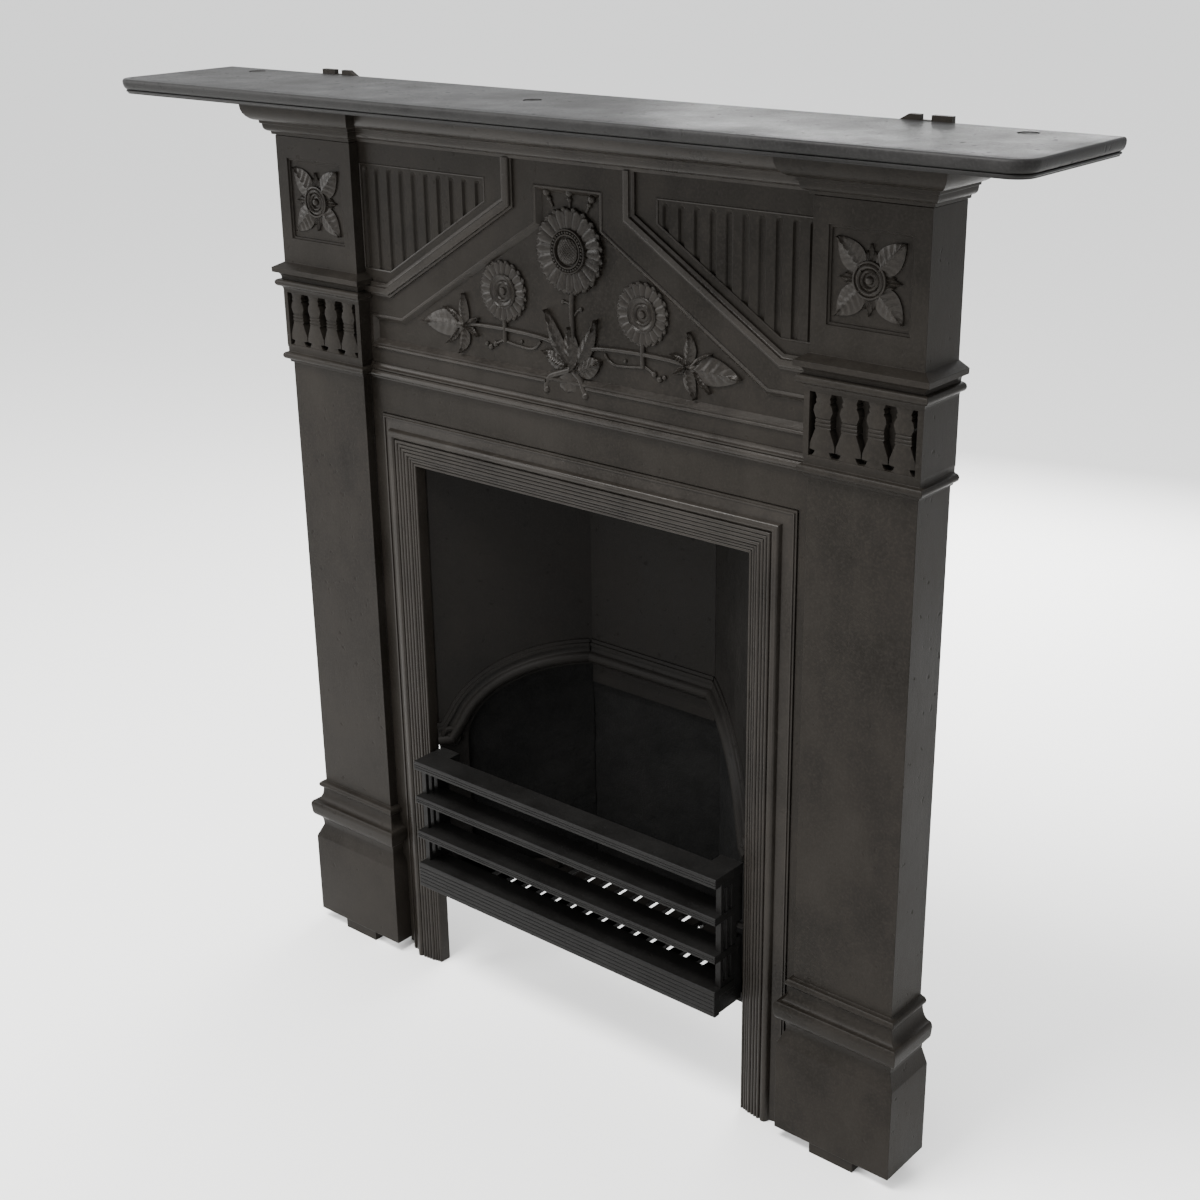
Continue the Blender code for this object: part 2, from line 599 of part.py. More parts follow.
def make_damper():
    """The flap over the throat: a plate, the barrel along its back edge and the eye that the poker lifts."""
    z = THROAT_TOP + GAP
    low_y = THROAT_FRONT - 0.003
    flap = box("damper_flap", (-BARREL_HALF, low_y, z), (BARREL_HALF, HINGE_Y - 0.001, z + FLAP_THICK),
               SOOTED_IRON)
    barrel = rod("flap_barrel", (-BARREL_HALF, HINGE_Y, HINGE_Z), (BARREL_HALF, HINGE_Y, HINGE_Z), BARREL_R,
                 None, 20)
    wings = [box(word + "_wing", (x, low_y, z), (x + 0.021, THROAT_BACK - 0.006, z + FLAP_THICK))
             for word, x in (("left", -FLAP_HALF), ("right", BARREL_HALF - 0.001))]
    join(flap, barrel, *wings)
    cut(flap, rod("flap_bore", (-0.07, HINGE_Y, HINGE_Z), (0.07, HINGE_Y, HINGE_Z), PIN_R + GAP, None, 20))
    return set_origin(flap, (0, HINGE_Y, HINGE_Z))


def make_damper_pin(hood):
    hole = rod("ear_holes", (-0.08, HINGE_Y, HINGE_Z), (0.08, HINGE_Y, HINGE_Z), PIN_R + GAP, None, 20)
    cut(hood, hole)
    pin = rod("damper_pin", (-PIN_HALF, HINGE_Y, HINGE_Z), (PIN_HALF, HINGE_Y, HINGE_Z), PIN_R, STEEL, 20)
    head = rod("pin_head", (PIN_HALF - 0.0025, HINGE_Y, HINGE_Z), (PIN_HALF + 0.0015, HINGE_Y, HINGE_Z),
               0.0050, None, 20)
    return join(pin, head)


def make_damper_eye():
    """The cast eye under the flap. It hangs in the throat, where the poker reaches it."""
    y, top = 0.034, THROAT_TOP
    stem = box("damper_eye", (-0.003, y - 0.004, top - 0.026), (0.003, y + 0.004, top), SOOTED_IRON)
    bm = bmesh.new()
    place = Matrix.Translation((0, y, top - 0.034)) @ Matrix.Rotation(math.pi / 2, 4, "Y")
    bmesh.ops.create_cone(bm, cap_ends=True, segments=20, radius1=0.012, radius2=0.012, depth=0.006,
                          matrix=place)
    disc = from_bmesh("eye_disc", bm)
    hole = rod("eye_hole", (-0.01, y, top - 0.034), (0.01, y, top - 0.034), 0.0060, None, 20)
    join(stem, disc)
    cut(stem, hole)
    return set_origin(stem, (0, HINGE_Y, HINGE_Z))


def make_grate_front():
    """The front of the grate: a flat ledge, two bars and a deep bottom rail between two end plates."""
    top = BAR_TOPS[0]
    front = box("grate_front", (-GRATE_HALF, BAR_FRONT, top - BAR_HIGH), (GRATE_HALF, -0.050, top), SOOTED_IRON)
    for number, z in enumerate(BAR_TOPS[1:]):
        bar_box = box(f"bar_{number}", (-GRATE_HALF, BAR_FRONT, z - BAR_HIGH), (GRATE_HALF, BAR_BACK, z))
        join(front, bar_box)
    rail = box("rail_face", (-GRATE_HALF, BAR_FRONT, RAIL_LOW), (GRATE_HALF, BAR_FRONT + RAIL_THICK, RAIL_TOP))
    lip = box("rail_top", (-GRATE_HALF, BAR_FRONT + 0.001, RAIL_TOP - BAR_HIGH * 0.8),
              (GRATE_HALF, BAR_BACK - 0.001, RAIL_TOP - 0.0002))
    join(front, rail, lip)
    for word, side in (("left", -1), ("right", 1)):
        xs = sorted((side * (GRATE_HALF - 0.007), side * (GRATE_HALF - 0.0005)))
        plate = box(word + "_end", (xs[0], BAR_FRONT + 0.012, RAIL_LOW + 0.001),
                    (xs[1], END_BACK, top - 0.0005))
        xs = sorted((side * (GRATE_HALF - 0.026), side * (GRATE_HALF - 0.0002)))
        horn = box(word + "_horn", (xs[0], -0.052, top - BAR_HIGH + 0.0002),
                   (xs[1], END_BACK - 0.0005, top - 0.0002))
        join(front, plate, horn)
        xs = sorted((side * (GRATE_HALF - 0.012), side * (GRATE_HALF + 0.005)))
        notch = box(word + "_notch", (xs[0], STUD_Y - STUD_R - GAP, STUD_Z - 0.012),
                    (xs[1], END_BACK + 0.004, STUD_Z + STUD_R + GAP))
        cut(front, notch)
    return set_origin(front, (0, BAR_FRONT, RAIL_LOW))


def make_stud(word, side):
    """The stud on the frame's edge that an end plate of the grate front hooks over."""
    return rod(word + "_grate_stud", (side * (OPENING_HALF - 0.0003), STUD_Y, STUD_Z),
               (side * (GRATE_HALF - 0.009), STUD_Y, STUD_Z), STUD_R, STEEL, 16)


def make_bottom_grate():
    """The slotted plate that the fire lies on. It follows the splay of the chamber."""
    edge_front, edge_back = -0.0410, 0.0700
    side_gap = 0.0065
    along = (CHEEK_FRONT.x - CHEEK_BACK.x) / (CHEEK_BACK.y - CHEEK_FRONT.y)

    def side_x(y):
        return min(0.1860, CHEEK_FRONT.x - along * (y - CHEEK_FRONT.y) - side_gap)

    turn_y = CHEEK_FRONT.y + (CHEEK_FRONT.x - side_gap - 0.1860) / along
    outline = mirrored([(0.1860, edge_front), (0.1860, turn_y), (side_x(edge_back), edge_back)])
    rim = 0.0085
    outlines = [outline]
    for i in range(SLOTS):
        x = SLOT_PITCH * (i - (SLOTS - 1) / 2)
        reach = CHEEK_FRONT.y + (CHEEK_FRONT.x - side_gap - abs(x) - SLOT_WIDTH / 2) / along - rim
        back = min(edge_back - rim, reach)
        low, high = x - SLOT_WIDTH / 2, x + SLOT_WIDTH / 2
        outlines.append([(low, edge_front + rim), (high, edge_front + rim), (high, back), (low, back)])
    grate = slab("bottom_grate", outlines, BOTTOM_GRATE_THICK, level(BOTTOM_GRATE_TOP - BOTTOM_GRATE_THICK / 2),
                 SOOTED_IRON)
    return set_origin(grate, (0, 0, BOTTOM_GRATE_TOP))


def make_fixing_lug(word, side):
    """The lug behind a pilaster's top that holds the surround to the wall. Its end shows over the shelf."""
    left, right, top = LUG_X - LUG_HALF, LUG_X + LUG_HALF, SHELF_TOP + LUG_RISE
    outline = [(left, LUG_BOTTOM), (right, LUG_BOTTOM), (right, top), (LUG_X + 0.007, top),
               (LUG_X + 0.007, top - LUG_NOTCH), (LUG_X - 0.003, top - LUG_NOTCH), (LUG_X - 0.003, top),
               (left + 0.012, top), (left, SHELF_TOP - 0.002)]
    return slab(word + "_fixing_lug", [[(side * a, b) for a, b in outline]], LUG_THICK,
                upright(GAP + LUG_THICK / 2), POLISHED_IRON)


def make_shelf_screw(word, x, y, shelf):
    """A countersunk screw in the shelf's top, with its hole."""
    z = SHELF_TOP - 0.0003
    head = rod("shelf_screw_" + word, (x, y, z - 0.004), (x, y, z), 0.0030, STEEL, 20, 0.0068)
    shank = rod(word + "_screw_shank", (x, y, SHELF_UNDER + 0.002), (x, y, z - 0.003), 0.0029, None, 20)
    sink = rod(word + "_screw_sink", (x, y, z - 0.0043), (x, y, SHELF_TOP + 0.0004), 0.0034, None, 20, 0.0078)
    hole = rod(word + "_screw_hole", (x, y, SHELF_UNDER + 0.0017), (x, y, z - 0.003), 0.0033, None, 20)
    cut(shelf, sink, hole)
    return join(head, shank)


def main():
    shelf = make_shelf()
    pilasters = {word: make_pilaster(word, side) for word, side in (("left", -1), ("right", 1))}
    frieze = make_frieze()
    frame = make_frame()
    cheeks = {word: make_cheek(word, side) for word, side in (("left", -1), ("right", 1))}
    fireback = make_fireback()
    make_back_brick()
    bearer = make_bearer()
    hood = make_hood()
    make_damper()
    make_damper_pin(hood)
    make_damper_eye()
    make_grate_front()
    make_bottom_grate()
    for word, x, y in SCREWS:
        make_shelf_screw(word, x, y, shelf)
    for word, side in (("left", -1), ("right", 1)):
        make_side_brick(word, side)
        make_stud(word, side)
        lug = make_fixing_lug(word, side)
        x = side * PILASTER_X
        piece, hole = bolt(word + "_shelf_bolt", (x, SHELF_BOLT_Y, SHELF_UNDER - 0.009), (0, 0, 1), 0.0165)
        cut(pilasters[word], hole)
        cut(shelf, hole)
        piece, hole = bolt(word + "_lug_bolt", (x, WEB_FRONT, LUG_BOLT_Z), (0, 1, 0), 0.0051 - WEB_FRONT)
        cut(lug, hole)
        cut(pilasters[word], hole)
        seat = (side * FRAME_BOLT_X, FLANGE_BACK, FRAME_BOLT_Z)
        piece, hole = bolt(word + "_frame_bolt", seat, (0, -1, 0), 0.0110)
        cut(frame, hole)
        cut(frieze, hole)
        for height, z in CHEEK_BOLTS:
            seat = (side * CHEEK_BOLT_X, CHEEK_FRONT.y + PLATE, z)
            piece, hole = bolt(f"{word}_cheek_bolt_{height}", seat, (0, -1, 0), 0.0120)
            cut(cheeks[word], hole)
            cut(frame, hole)
        seat = (side * BEARER_BOLT_X, BEARER_EAR_BACK, BEARER_BOLT_Z)
        piece, hole = bolt(word + "_bearer_bolt", seat, (0, -1, 0), 0.0190)
        cut(bearer, hole)
        cut(frame, hole)
        seat = (side * HOOD_BOLT_X, HOOD_TAIL_BACK, HOOD_BOLT_Z)
        piece, hole = bolt(word + "_hood_bolt", seat, (0, -1, 0), 0.0085)
        cut(hood, hole)
        cut(fireback, hole)
    for piece in list(PARTS.objects) + list(CUTTERS.objects):
        piece.location.y += CENTRE_SHIFT


main()
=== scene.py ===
# %% [markdown]
# # A cast-iron bedroom fireplace
# The fireplace is a surround of flat castings bolted together: two pilasters, a frieze plate, a moulded
# frame round the opening and a shelf. Behind it stands a splayed fire chamber with firebricks, a grate and
# a hood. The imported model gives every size. This script makes the castings again with their mouldings and
# ornament, and gives each one its finish.

import json
import math

import bmesh
import bpy
from mathutils import Matrix, Vector, noise


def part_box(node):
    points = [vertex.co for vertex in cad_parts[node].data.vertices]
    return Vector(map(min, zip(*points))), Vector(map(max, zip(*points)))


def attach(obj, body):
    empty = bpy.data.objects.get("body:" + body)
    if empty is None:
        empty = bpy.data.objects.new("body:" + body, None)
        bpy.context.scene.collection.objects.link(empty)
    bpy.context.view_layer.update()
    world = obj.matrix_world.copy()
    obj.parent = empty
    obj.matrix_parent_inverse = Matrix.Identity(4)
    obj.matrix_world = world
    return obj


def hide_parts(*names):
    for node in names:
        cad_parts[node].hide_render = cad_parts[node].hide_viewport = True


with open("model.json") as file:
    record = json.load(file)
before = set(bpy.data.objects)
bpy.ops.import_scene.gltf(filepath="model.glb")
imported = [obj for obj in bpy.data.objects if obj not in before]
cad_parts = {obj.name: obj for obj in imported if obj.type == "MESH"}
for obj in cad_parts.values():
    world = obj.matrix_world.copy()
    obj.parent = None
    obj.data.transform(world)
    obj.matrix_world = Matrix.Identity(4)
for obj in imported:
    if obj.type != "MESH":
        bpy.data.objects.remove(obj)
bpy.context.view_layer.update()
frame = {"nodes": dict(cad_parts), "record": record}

# %% [markdown]
# ## Sizes
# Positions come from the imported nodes. The face of the frieze is the plane that the relief stands on, and
# the back of the surround is the plane that meets the wall, so most depths are counted from those two.

# %% Sizes read from the frame
SHELF_LOW, SHELF_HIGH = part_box("mantel_shelf")
FRIEZE_LOW, FRIEZE_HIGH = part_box("frieze_plate")
GRATE_LOW, GRATE_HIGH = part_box("grate_front")
WALL_Y = SHELF_HIGH.y
FRIEZE_THICK = 0.0065
FRIEZE_Y = FRIEZE_HIGH.y - FRIEZE_THICK
SHELF_UNDER = SHELF_LOW.z
SIDES = (("left", -1), ("right", 1))
print("back of the surround:", round(WALL_Y, 4), " face of the frieze:", round(FRIEZE_Y, 4))

# %% [markdown]
# ## Placing and riding
# Every finished piece keeps its object at the origin and its place in its mesh, as the imported nodes do. One
# helper turns a bmesh into such an object, rides it on a body and hides the imported nodes it stands for.

# %% From a bmesh to a piece
PIECES = []


def finish_piece(name, bm, finish, body="surround", stands_for=(), bevel=0.0,
                 smooth=35):
    """Makes an object of the bmesh, with an optional rounded edge, and rides it on its body."""
    bmesh.ops.remove_doubles(bm, verts=bm.verts, dist=1e-6)
    bmesh.ops.dissolve_degenerate(bm, dist=1e-7, edges=bm.edges)
    bmesh.ops.recalc_face_normals(bm, faces=bm.faces)
    mesh = bpy.data.meshes.new(name)
    bm.to_mesh(mesh)
    bm.free()
    piece = bpy.data.objects.new(name, mesh)
    bpy.context.scene.collection.objects.link(piece)
    mesh.materials.append(finish)
    mesh.shade_smooth()
    mesh.set_sharp_from_angle(angle=math.radians(smooth))
    if bevel:
        rounding = piece.modifiers.new("rounded_edges", "BEVEL")
        rounding.width = bevel
        rounding.segments = 2
        rounding.limit_method = "ANGLE"
        rounding.angle_limit = math.radians(32)
        rounding.harden_normals = True
    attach(piece, body)
    if stands_for:
        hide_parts(*stands_for)
    PIECES.append(piece)
    return piece


def verts_of(geom):
    return [g for g in geom if isinstance(g, bmesh.types.BMVert)]


def edges_of(geom):
    return [g for g in geom if isinstance(g, bmesh.types.BMEdge)]


def faces_of(geom):
    return [g for g in geom if isinstance(g, bmesh.types.BMFace)]


def closed_ends(bm):
    """Closes every open boundary with a face."""
    rims = [edge for edge in bm.edges if edge.is_boundary]
    if rims:
        bmesh.ops.holes_fill(bm, edges=rims, sides=0)


print("piece helper ready")

# %% [markdown]
# ## Mouldings
# A moulding is a profile: flats, rounds, hollows and beads, one after another, given as height and
# projection. A pattern maker would cut it once and run it along every edge. Here the profile is a chain of
# vertices, and the run extrudes that chain from corner to corner, with the corners mitred.

# %% Profiles
CURVE_STEPS = 6


def profile(start, *parts):
    """Points of a moulding. Each part is (shape, height, projection) of where the next shape ends."""
    points = [start]
    for shape, height, proud in parts:
        h0, p0 = points[-1]
        dh, dp = height - h0, proud - p0
        if shape == "flat":
            points.append((height, proud))
            continue
        for i in range(1, CURVE_STEPS + 1):
            turn = math.pi / 2 * i / CURVE_STEPS
            early, late = 1 - math.cos(turn), math.sin(turn)
            if shape == "bead":
                bulge = abs(dh) / 2 * math.sin(2 * turn)
                points.append((h0 + dh * (1 - math.cos(2 * turn)) / 2, p0 + dp * i / CURVE_STEPS + bulge))
            elif (shape == "round") == (dp > 0):
                points.append((h0 + dh * early, p0 + dp * late))
            else:
                points.append((h0 + dh * late, p0 + dp * early))
    return points


print("an ovolo has", len(profile((0, 0), ("round", 1, 1))), "points")

# %% Running a profile along a path


def mitres(path, loop):
    """For each corner of a flat path, the vector that one unit to the left of the run becomes there."""
    found = []
    count = len(path)
    for i, here in enumerate(path):
        before = path[i - 1] if loop or i > 0 else None
        after = path[(i + 1) % count] if loop or i < count - 1 else None
        runs = [Vector(b) - Vector(a) for a,
                b in ((before, here), (here, after)) if a is not None and b is not None]
        sides = [Vector((-run.y, run.x)).normalized() for run in runs]
        middle = sum(sides, Vector((0, 0))).normalized()
        found.append(middle / max(0.2, middle.dot(sides[0])))
    return found


def run_moulding(bm, section, path, place, loop=False):
    """Extrudes a closed section, points of (left of the path, proud of the plane), along a flat path."""
    lefts = mitres(path, loop)

    def spots(i):
        here = Vector(path[i])
        return [place @ Vector((*(here + lefts[i] * left), proud)) for left, proud in section]

    ring = [bm.verts.new(spot) for spot in spots(0)]
    edges = [bm.edges.new((a, b)) for a, b in zip(ring, ring[1:] + ring[:1])]
    first = list(edges)
    for i in range(1, len(path)):
        made = bmesh.ops.extrude_edge_only(bm, edges=edges)["geom"]
        fresh = set(verts_of(made))
        following = [next(e.other_vert(v) for e in v.link_edges if e.other_vert(v) in fresh) for v in ring]
        for vert, spot in zip(following, spots(i)):
            vert.co = spot
        edges = [e for e in edges_of(made) if set(e.verts) <= fresh]
        ring = following
    if loop:
        bmesh.ops.bridge_loops(bm, edges=first + edges)
    else:
        bmesh.ops.contextual_create(bm, geom=first)
        bmesh.ops.contextual_create(bm, geom=edges)


def upright(y):
    """A plane facing the room: the path is (x, z) and proud is towards the room."""
    return Matrix(((1, 0, 0, 0), (0, 0, -1, y), (0, 1, 0, 0), (0, 0, 0, 1)))


def level(z):
    """A plane seen from above: the path is (x, y) and proud is upwards."""
    return Matrix.Translation((0, 0, z))


def flipped(points):
    return [(-a, b) for a, b in reversed(points)]


def mirrored(points):
    """The right half of a path, and its mirror image after it."""
    return list(points) + flipped(points)


def add_box(bm, low, high):
    low, high = Vector(low), Vector(high)
    size = Matrix.Diagonal((*(high - low), 1))
    return bmesh.ops.create_cube(bm, size=1, matrix=Matrix.Translation((low + high) / 2) @ size)["verts"]


def add_plate(bm, outline, holes, thickness, place):
    """A flat plate with holes. Its face is proud by nothing and its thickness goes back from there."""
    rims = []
    for loop in (outline, *holes):
        verts = [bm.verts.new(place @ Vector((a, b, 0))) for a, b in loop]
        rims += [bm.edges.new((a, b)) for a, b in zip(verts, verts[1:] + verts[:1])]
    faces = faces_of(bmesh.ops.triangle_fill(bm, edges=rims, use_beauty=True)["geom"])
    made = bmesh.ops.extrude_face_region(bm, geom=faces, use_keep_orig=True)["geom"]
    back = place.to_3x3() @ Vector((0, 0, -thickness))
    bmesh.ops.translate(bm, vec=back, verts=verts_of(made))


print("helpers ready: profiles, runs, plates")

# %% [markdown]
# ## Shader expressions
# A finish is easier to read as arithmetic than as a list of nodes and links. The Sheet class holds a
# material and makes its nodes, and the Value class wraps a socket, so that roughness = 0.3 + 0.2 * mottle
# adds Math nodes.

# %% Value and Sheet


class Value:
    """A number that changes over the surface."""

    def __init__(self, sheet, socket):
        self.sheet = sheet
        self.socket = socket

    def math(self, operation, *others):
        values = {i: v for i, v in enumerate((self, *others))}
        return self.sheet.node("ShaderNodeMath", {"operation": operation}, values)

    def flipped_math(self, operation, other):
        return self.sheet.node("ShaderNodeMath", {"operation": operation}, {0: other, 1: self})

    def __add__(self, other):
        return self.math("ADD", other)

    def __sub__(self, other):
        return self.math("SUBTRACT", other)

    def __mul__(self, other):
        return self.math("MULTIPLY", other)

    def __rsub__(self, other):
        return self.flipped_math("SUBTRACT", other)

    __radd__ = __add__
    __rmul__ = __mul__

    def ramp(self, low, high, start=0.0, end=1.0):
        """Runs from start to end as this value runs from low to high."""
        values = {"Value": self, "From Min": low, "From Max": high, "To Min": start, "To Max": end}
        return self.sheet.node("ShaderNodeMapRange", {"clamp": True}, values)


class Sheet:
    """A material being built."""

    def __init__(self, name):
        self.material = bpy.data.materials.new(name)
        self.material.use_nodes = True
        self.tree = self.material.node_tree
        self.shader = self.tree.nodes["Principled BSDF"]
        self.place = self.node("ShaderNodeTexCoord", {}, {}, "Object")

    def feed(self, socket, value):
        if isinstance(value, Value):
            self.tree.links.new(value.socket, socket)
        else:
            socket.default_value = value

    def node(self, kind, settings, values, output=0):
        made = self.tree.nodes.new(kind)
        for name, setting in settings.items():
            setattr(made, name, setting)
        for name, value in values.items():
            self.feed(made.inputs[name], value)
        return Value(self, made.outputs[output])

    def cloud(self, scale, detail=4.0, rough=0.55, stretch=(1, 1, 1)):
        """Soft noise from 0 to 1, with its middle at a half."""
        where = self.node("ShaderNodeMapping", {}, {"Vector": self.place, "Scale": stretch})
        return self.node("ShaderNodeTexNoise", {"normalize": True},
                         {"Vector": where, "Scale": scale, "Detail": detail, "Roughness": rough})

    def blend(self, factor, first, second):
        made = self.tree.nodes.new("ShaderNodeMix")
        made.data_type = "RGBA"
        self.feed(made.inputs[0], factor)
        for socket, colour in ((made.inputs[6], first), (made.inputs[7], second)):
            self.feed(socket, colour if isinstance(colour, Value) else (*colour, 1))
        return Value(self, made.outputs[2])

    def set(self, **values):
        """Feeds the shader's sockets, named with underscores."""
        for name, value in values.items():
            if isinstance(value, tuple):
                value = (*value, 1)
            self.feed(self.shader.inputs[name.replace("_", " ")], value)
        return self.material

    def bump(self, height, strength, distance, normal=None):
        values = {"Height": height, "Strength": strength, "Distance": distance}
        if normal is not None:
            values["Normal"] = normal
        return self.node("ShaderNodeBump", {}, values)


print("shader helpers ready")

# %% [markdown]
# ## Finishes
# Cast iron is dark brownish grey. Graphite polish is rubbed in with a cloth, so the flat faces have a satin
# sheen with smoky patches where more was left, and the sand of the mould shows as fine grain with a few
# pits. The chamber is matt with soot, the firebricks are rough clay, and the bolts are dull steel.

# %% Polished and sooted iron


def make_iron(name, dark, light, metallic, rough_low, rough_high, grain):
    sheet = Sheet(name)
    smoke = sheet.cloud(9, 5, 0.6)
    drift = sheet.cloud(28, 4, 0.6, (1, 1, 0.45))
    mottle = (smoke * 0.65 + drift * 0.35).ramp(0.34, 0.66)
    speck = sheet.cloud(420, 2, 0.5)
    sand = sheet.cloud(900, 3, 0.6)
    pit = sheet.cloud(150, 1, 0.4).ramp(0.70, 0.78)
    rough = (mottle * (rough_high - rough_low) + rough_low) + (speck - 0.5) * 0.16 + pit * 0.2
    shallow = sheet.bump(drift, 0.22, 0.0015)
    grainy = sheet.bump(sand, grain, 0.0004, shallow)
    normal = sheet.bump(1 - pit, 0.35, 0.0006, grainy)
    colour = sheet.blend(mottle, dark, light)
    colour = sheet.blend(speck.ramp(0.45, 0.75, 0.0, 0.35), colour, tuple(c * 1.5 for c in light))
    return sheet.set(Base_Color=colour, Metallic=metallic, Roughness=rough, Normal=normal,
                     Specular_IOR_Level=0.03 + metallic * 0.5)


POLISHED = make_iron("graphite_polished_iron", (0.0048, 0.0040, 0.0031), (0.0130, 0.0112, 0.0093), 0.06,
                     0.33, 0.50, 0.35)
# A lighter copy of the polished iron for the raised ornament and mouldings. Its paler base colour is painted
# sheen, standing in for the highlights that raised parts catch. Its higher metallic and lower roughness are a
# real, more rubbed polish.
RUBBED_IRON_WITH_PAINTED_SHEEN = make_iron("rubbed_iron_with_painted_sheen", (0.0058, 0.0048, 0.0038), (0.0170, 0.0146, 0.0122), 0.17, 0.26, 0.40, 0.30)
SHELF_IRON = make_iron("shelf_iron", (0.0055, 0.0053, 0.0051), (0.0170, 0.0165, 0.0160), 0.10, 0.36, 0.56,
                       0.40)
SOOTED = make_iron("sooted_iron", (0.0022, 0.0019, 0.0016), (0.0056, 0.0049, 0.0042), 0.08, 0.50, 0.70, 0.55)
GRATE_IRON = make_iron("grate_iron", (0.0036, 0.0034, 0.0032), (0.0085, 0.0082, 0.0078), 0.08, 0.30, 0.48,
                       0.45)
print("irons:", POLISHED.name, SHELF_IRON.name, SOOTED.name)

# %% Fireclay and steel


def make_fireclay():
    sheet = Sheet("sooted_fireclay")
    lumps = sheet.cloud(70, 6, 0.65)
    crumbs = sheet.cloud(320, 4, 0.7)
    stain = sheet.cloud(14, 4, 0.6).ramp(0.35, 0.65)
    colour = sheet.blend(stain, (0.0008, 0.0008, 0.0007), (0.0028, 0.0027, 0.0025))
    normal = sheet.bump(crumbs, 0.6, 0.001, sheet.bump(lumps, 0.7, 0.003))
    return sheet.set(Base_Color=colour, Roughness=0.72 + crumbs * 0.25, Normal=normal,
                     Specular_IOR_Level=0.09)


def make_steel():
    sheet = Sheet("dull_steel")
    film = sheet.cloud(160, 4, 0.6)
    colour = sheet.blend(film.ramp(0.4, 0.65), (0.030, 0.028, 0.026), (0.012, 0.010, 0.009))
    normal = sheet.bump(sheet.cloud(1200, 2, 0.5), 0.3, 0.0002)
    return sheet.set(Base_Color=colour, Metallic=0.85, Roughness=0.38 + film * 0.3, Normal=normal)


FIRECLAY = make_fireclay()
STEEL = make_steel()
print("other finishes:", FIRECLAY.name, STEEL.name)

# %% [markdown]
# ## The shelf
# The shelf is a flat casting, planed on top, with a thick ovolo edge that ends in a fine bead underneath.
# Its two front corners are rounded. The edge is one moulding that runs round three sides of a plain board.

# %% Shelf
SHELF_THICK = SHELF_HIGH.z - SHELF_LOW.z
CORNER = 0.020
EDGE_IN = 0.010
BOARD_IN = EDGE_IN * 0.9
SCREW_HOLE = 0.0085


def arc(centre, radius, start, end, steps):
    angles = [math.radians(start + (end - start) * i / steps) for i in range(steps + 1)]
    return [(centre[0] + radius * math.cos(a), centre[1] + radius * math.sin(a)) for a in angles]


def make_shelf():
    bm = bmesh.new()
    drop = -SHELF_THICK
    edge = profile((drop, -0.0050), ("flat", drop + 0.0012, -0.0046), ("bead", drop + 0.0034, -0.0040),
                   ("flat", drop + 0.0036, -0.0050), ("round", drop + 0.0112, -0.0004),
                   ("round", 0.0, -0.0030))
    section = [(proud, height) for height, proud in edge] + [(-EDGE_IN, 0.0), (-EDGE_IN, drop)]
    front = Vector((SHELF_HIGH.x, SHELF_LOW.y))
    right = [(front.x, WALL_Y)] + arc((front.x - CORNER, front.y + CORNER), CORNER, 0, -90, 8)
    run_moulding(bm, section, mirrored(right), level(SHELF_HIGH.z))
    inner = [(front.x - BOARD_IN, WALL_Y)]
    inner += arc((front.x - CORNER, front.y + CORNER), CORNER - BOARD_IN, 0, -90, 8)
    holes = []
    for word in ("left", "middle", "right"):
        low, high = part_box("shelf_screw_" + word)
        holes.append(arc((low + high).to_2d() / 2, SCREW_HOLE, 0, 345, 23))
    add_plate(bm, mirrored(inner), holes, SHELF_THICK - 0.0002, level(SHELF_HIGH.z))
    return finish_piece("shelf", bm, SHELF_IRON, stands_for=["mantel_shelf"])


shelf = make_shelf()
print("shelf:", len(shelf.data.polygons), "faces")

# %% [markdown]
# ## The cornice
# Under the shelf runs a cornice of two ovolos with a fillet between. It steps forward over each pilaster
# and runs back along the frieze, so one profile serves for all three runs.

# %% Cornice profile
CORNICE_LOW = 0.890
CORNICE_TOP = SHELF_UNDER - 0.0004


def cornice(z):
    """The cornice's profile. Its foot is at height z."""
    return profile((z, 0.0), ("flat", z + 0.0006, 0.0035), ("flat", z + 0.0035, 0.0040),
                   ("round", z + 0.0085, 0.0095), ("flat", z + 0.0110, 0.0098), ("flat", z + 0.0114, 0.0115),
                   ("flat", z + 0.0142, 0.0118), ("round", z + 0.0290, 0.0245), ("flat", z + 0.0345, 0.0250),
                   ("flat", z + 0.0350, 0.0266), ("flat", CORNICE_TOP, 0.0266))


print("cornice:", len(cornice(CORNICE_LOW)), "points")

# %% [markdown]
# ## The pilasters
# Each pilaster is a hollow casting, open at the back: a plinth with a chamfered top, a base with a swelling
# cyma, a plain shaft, an astragal, a row of flat balusters, a cap and a panelled block. A single profile
# from the floor to the shelf, run round three sides, makes the whole casting. The panel is then cut and
# sunk in its face.

# %% Pilaster profile
PILASTER_X = 0.3195
SHAFT_HALF = 0.0524
SHAFT_Y = WALL_Y - 0.0506
HOLLOW = -0.0085
BALUSTER_LOW, BALUSTER_HIGH = 0.6795, 0.7335
BALUSTER_FACE = 0.0035
RECESS_BACK = 0.0062


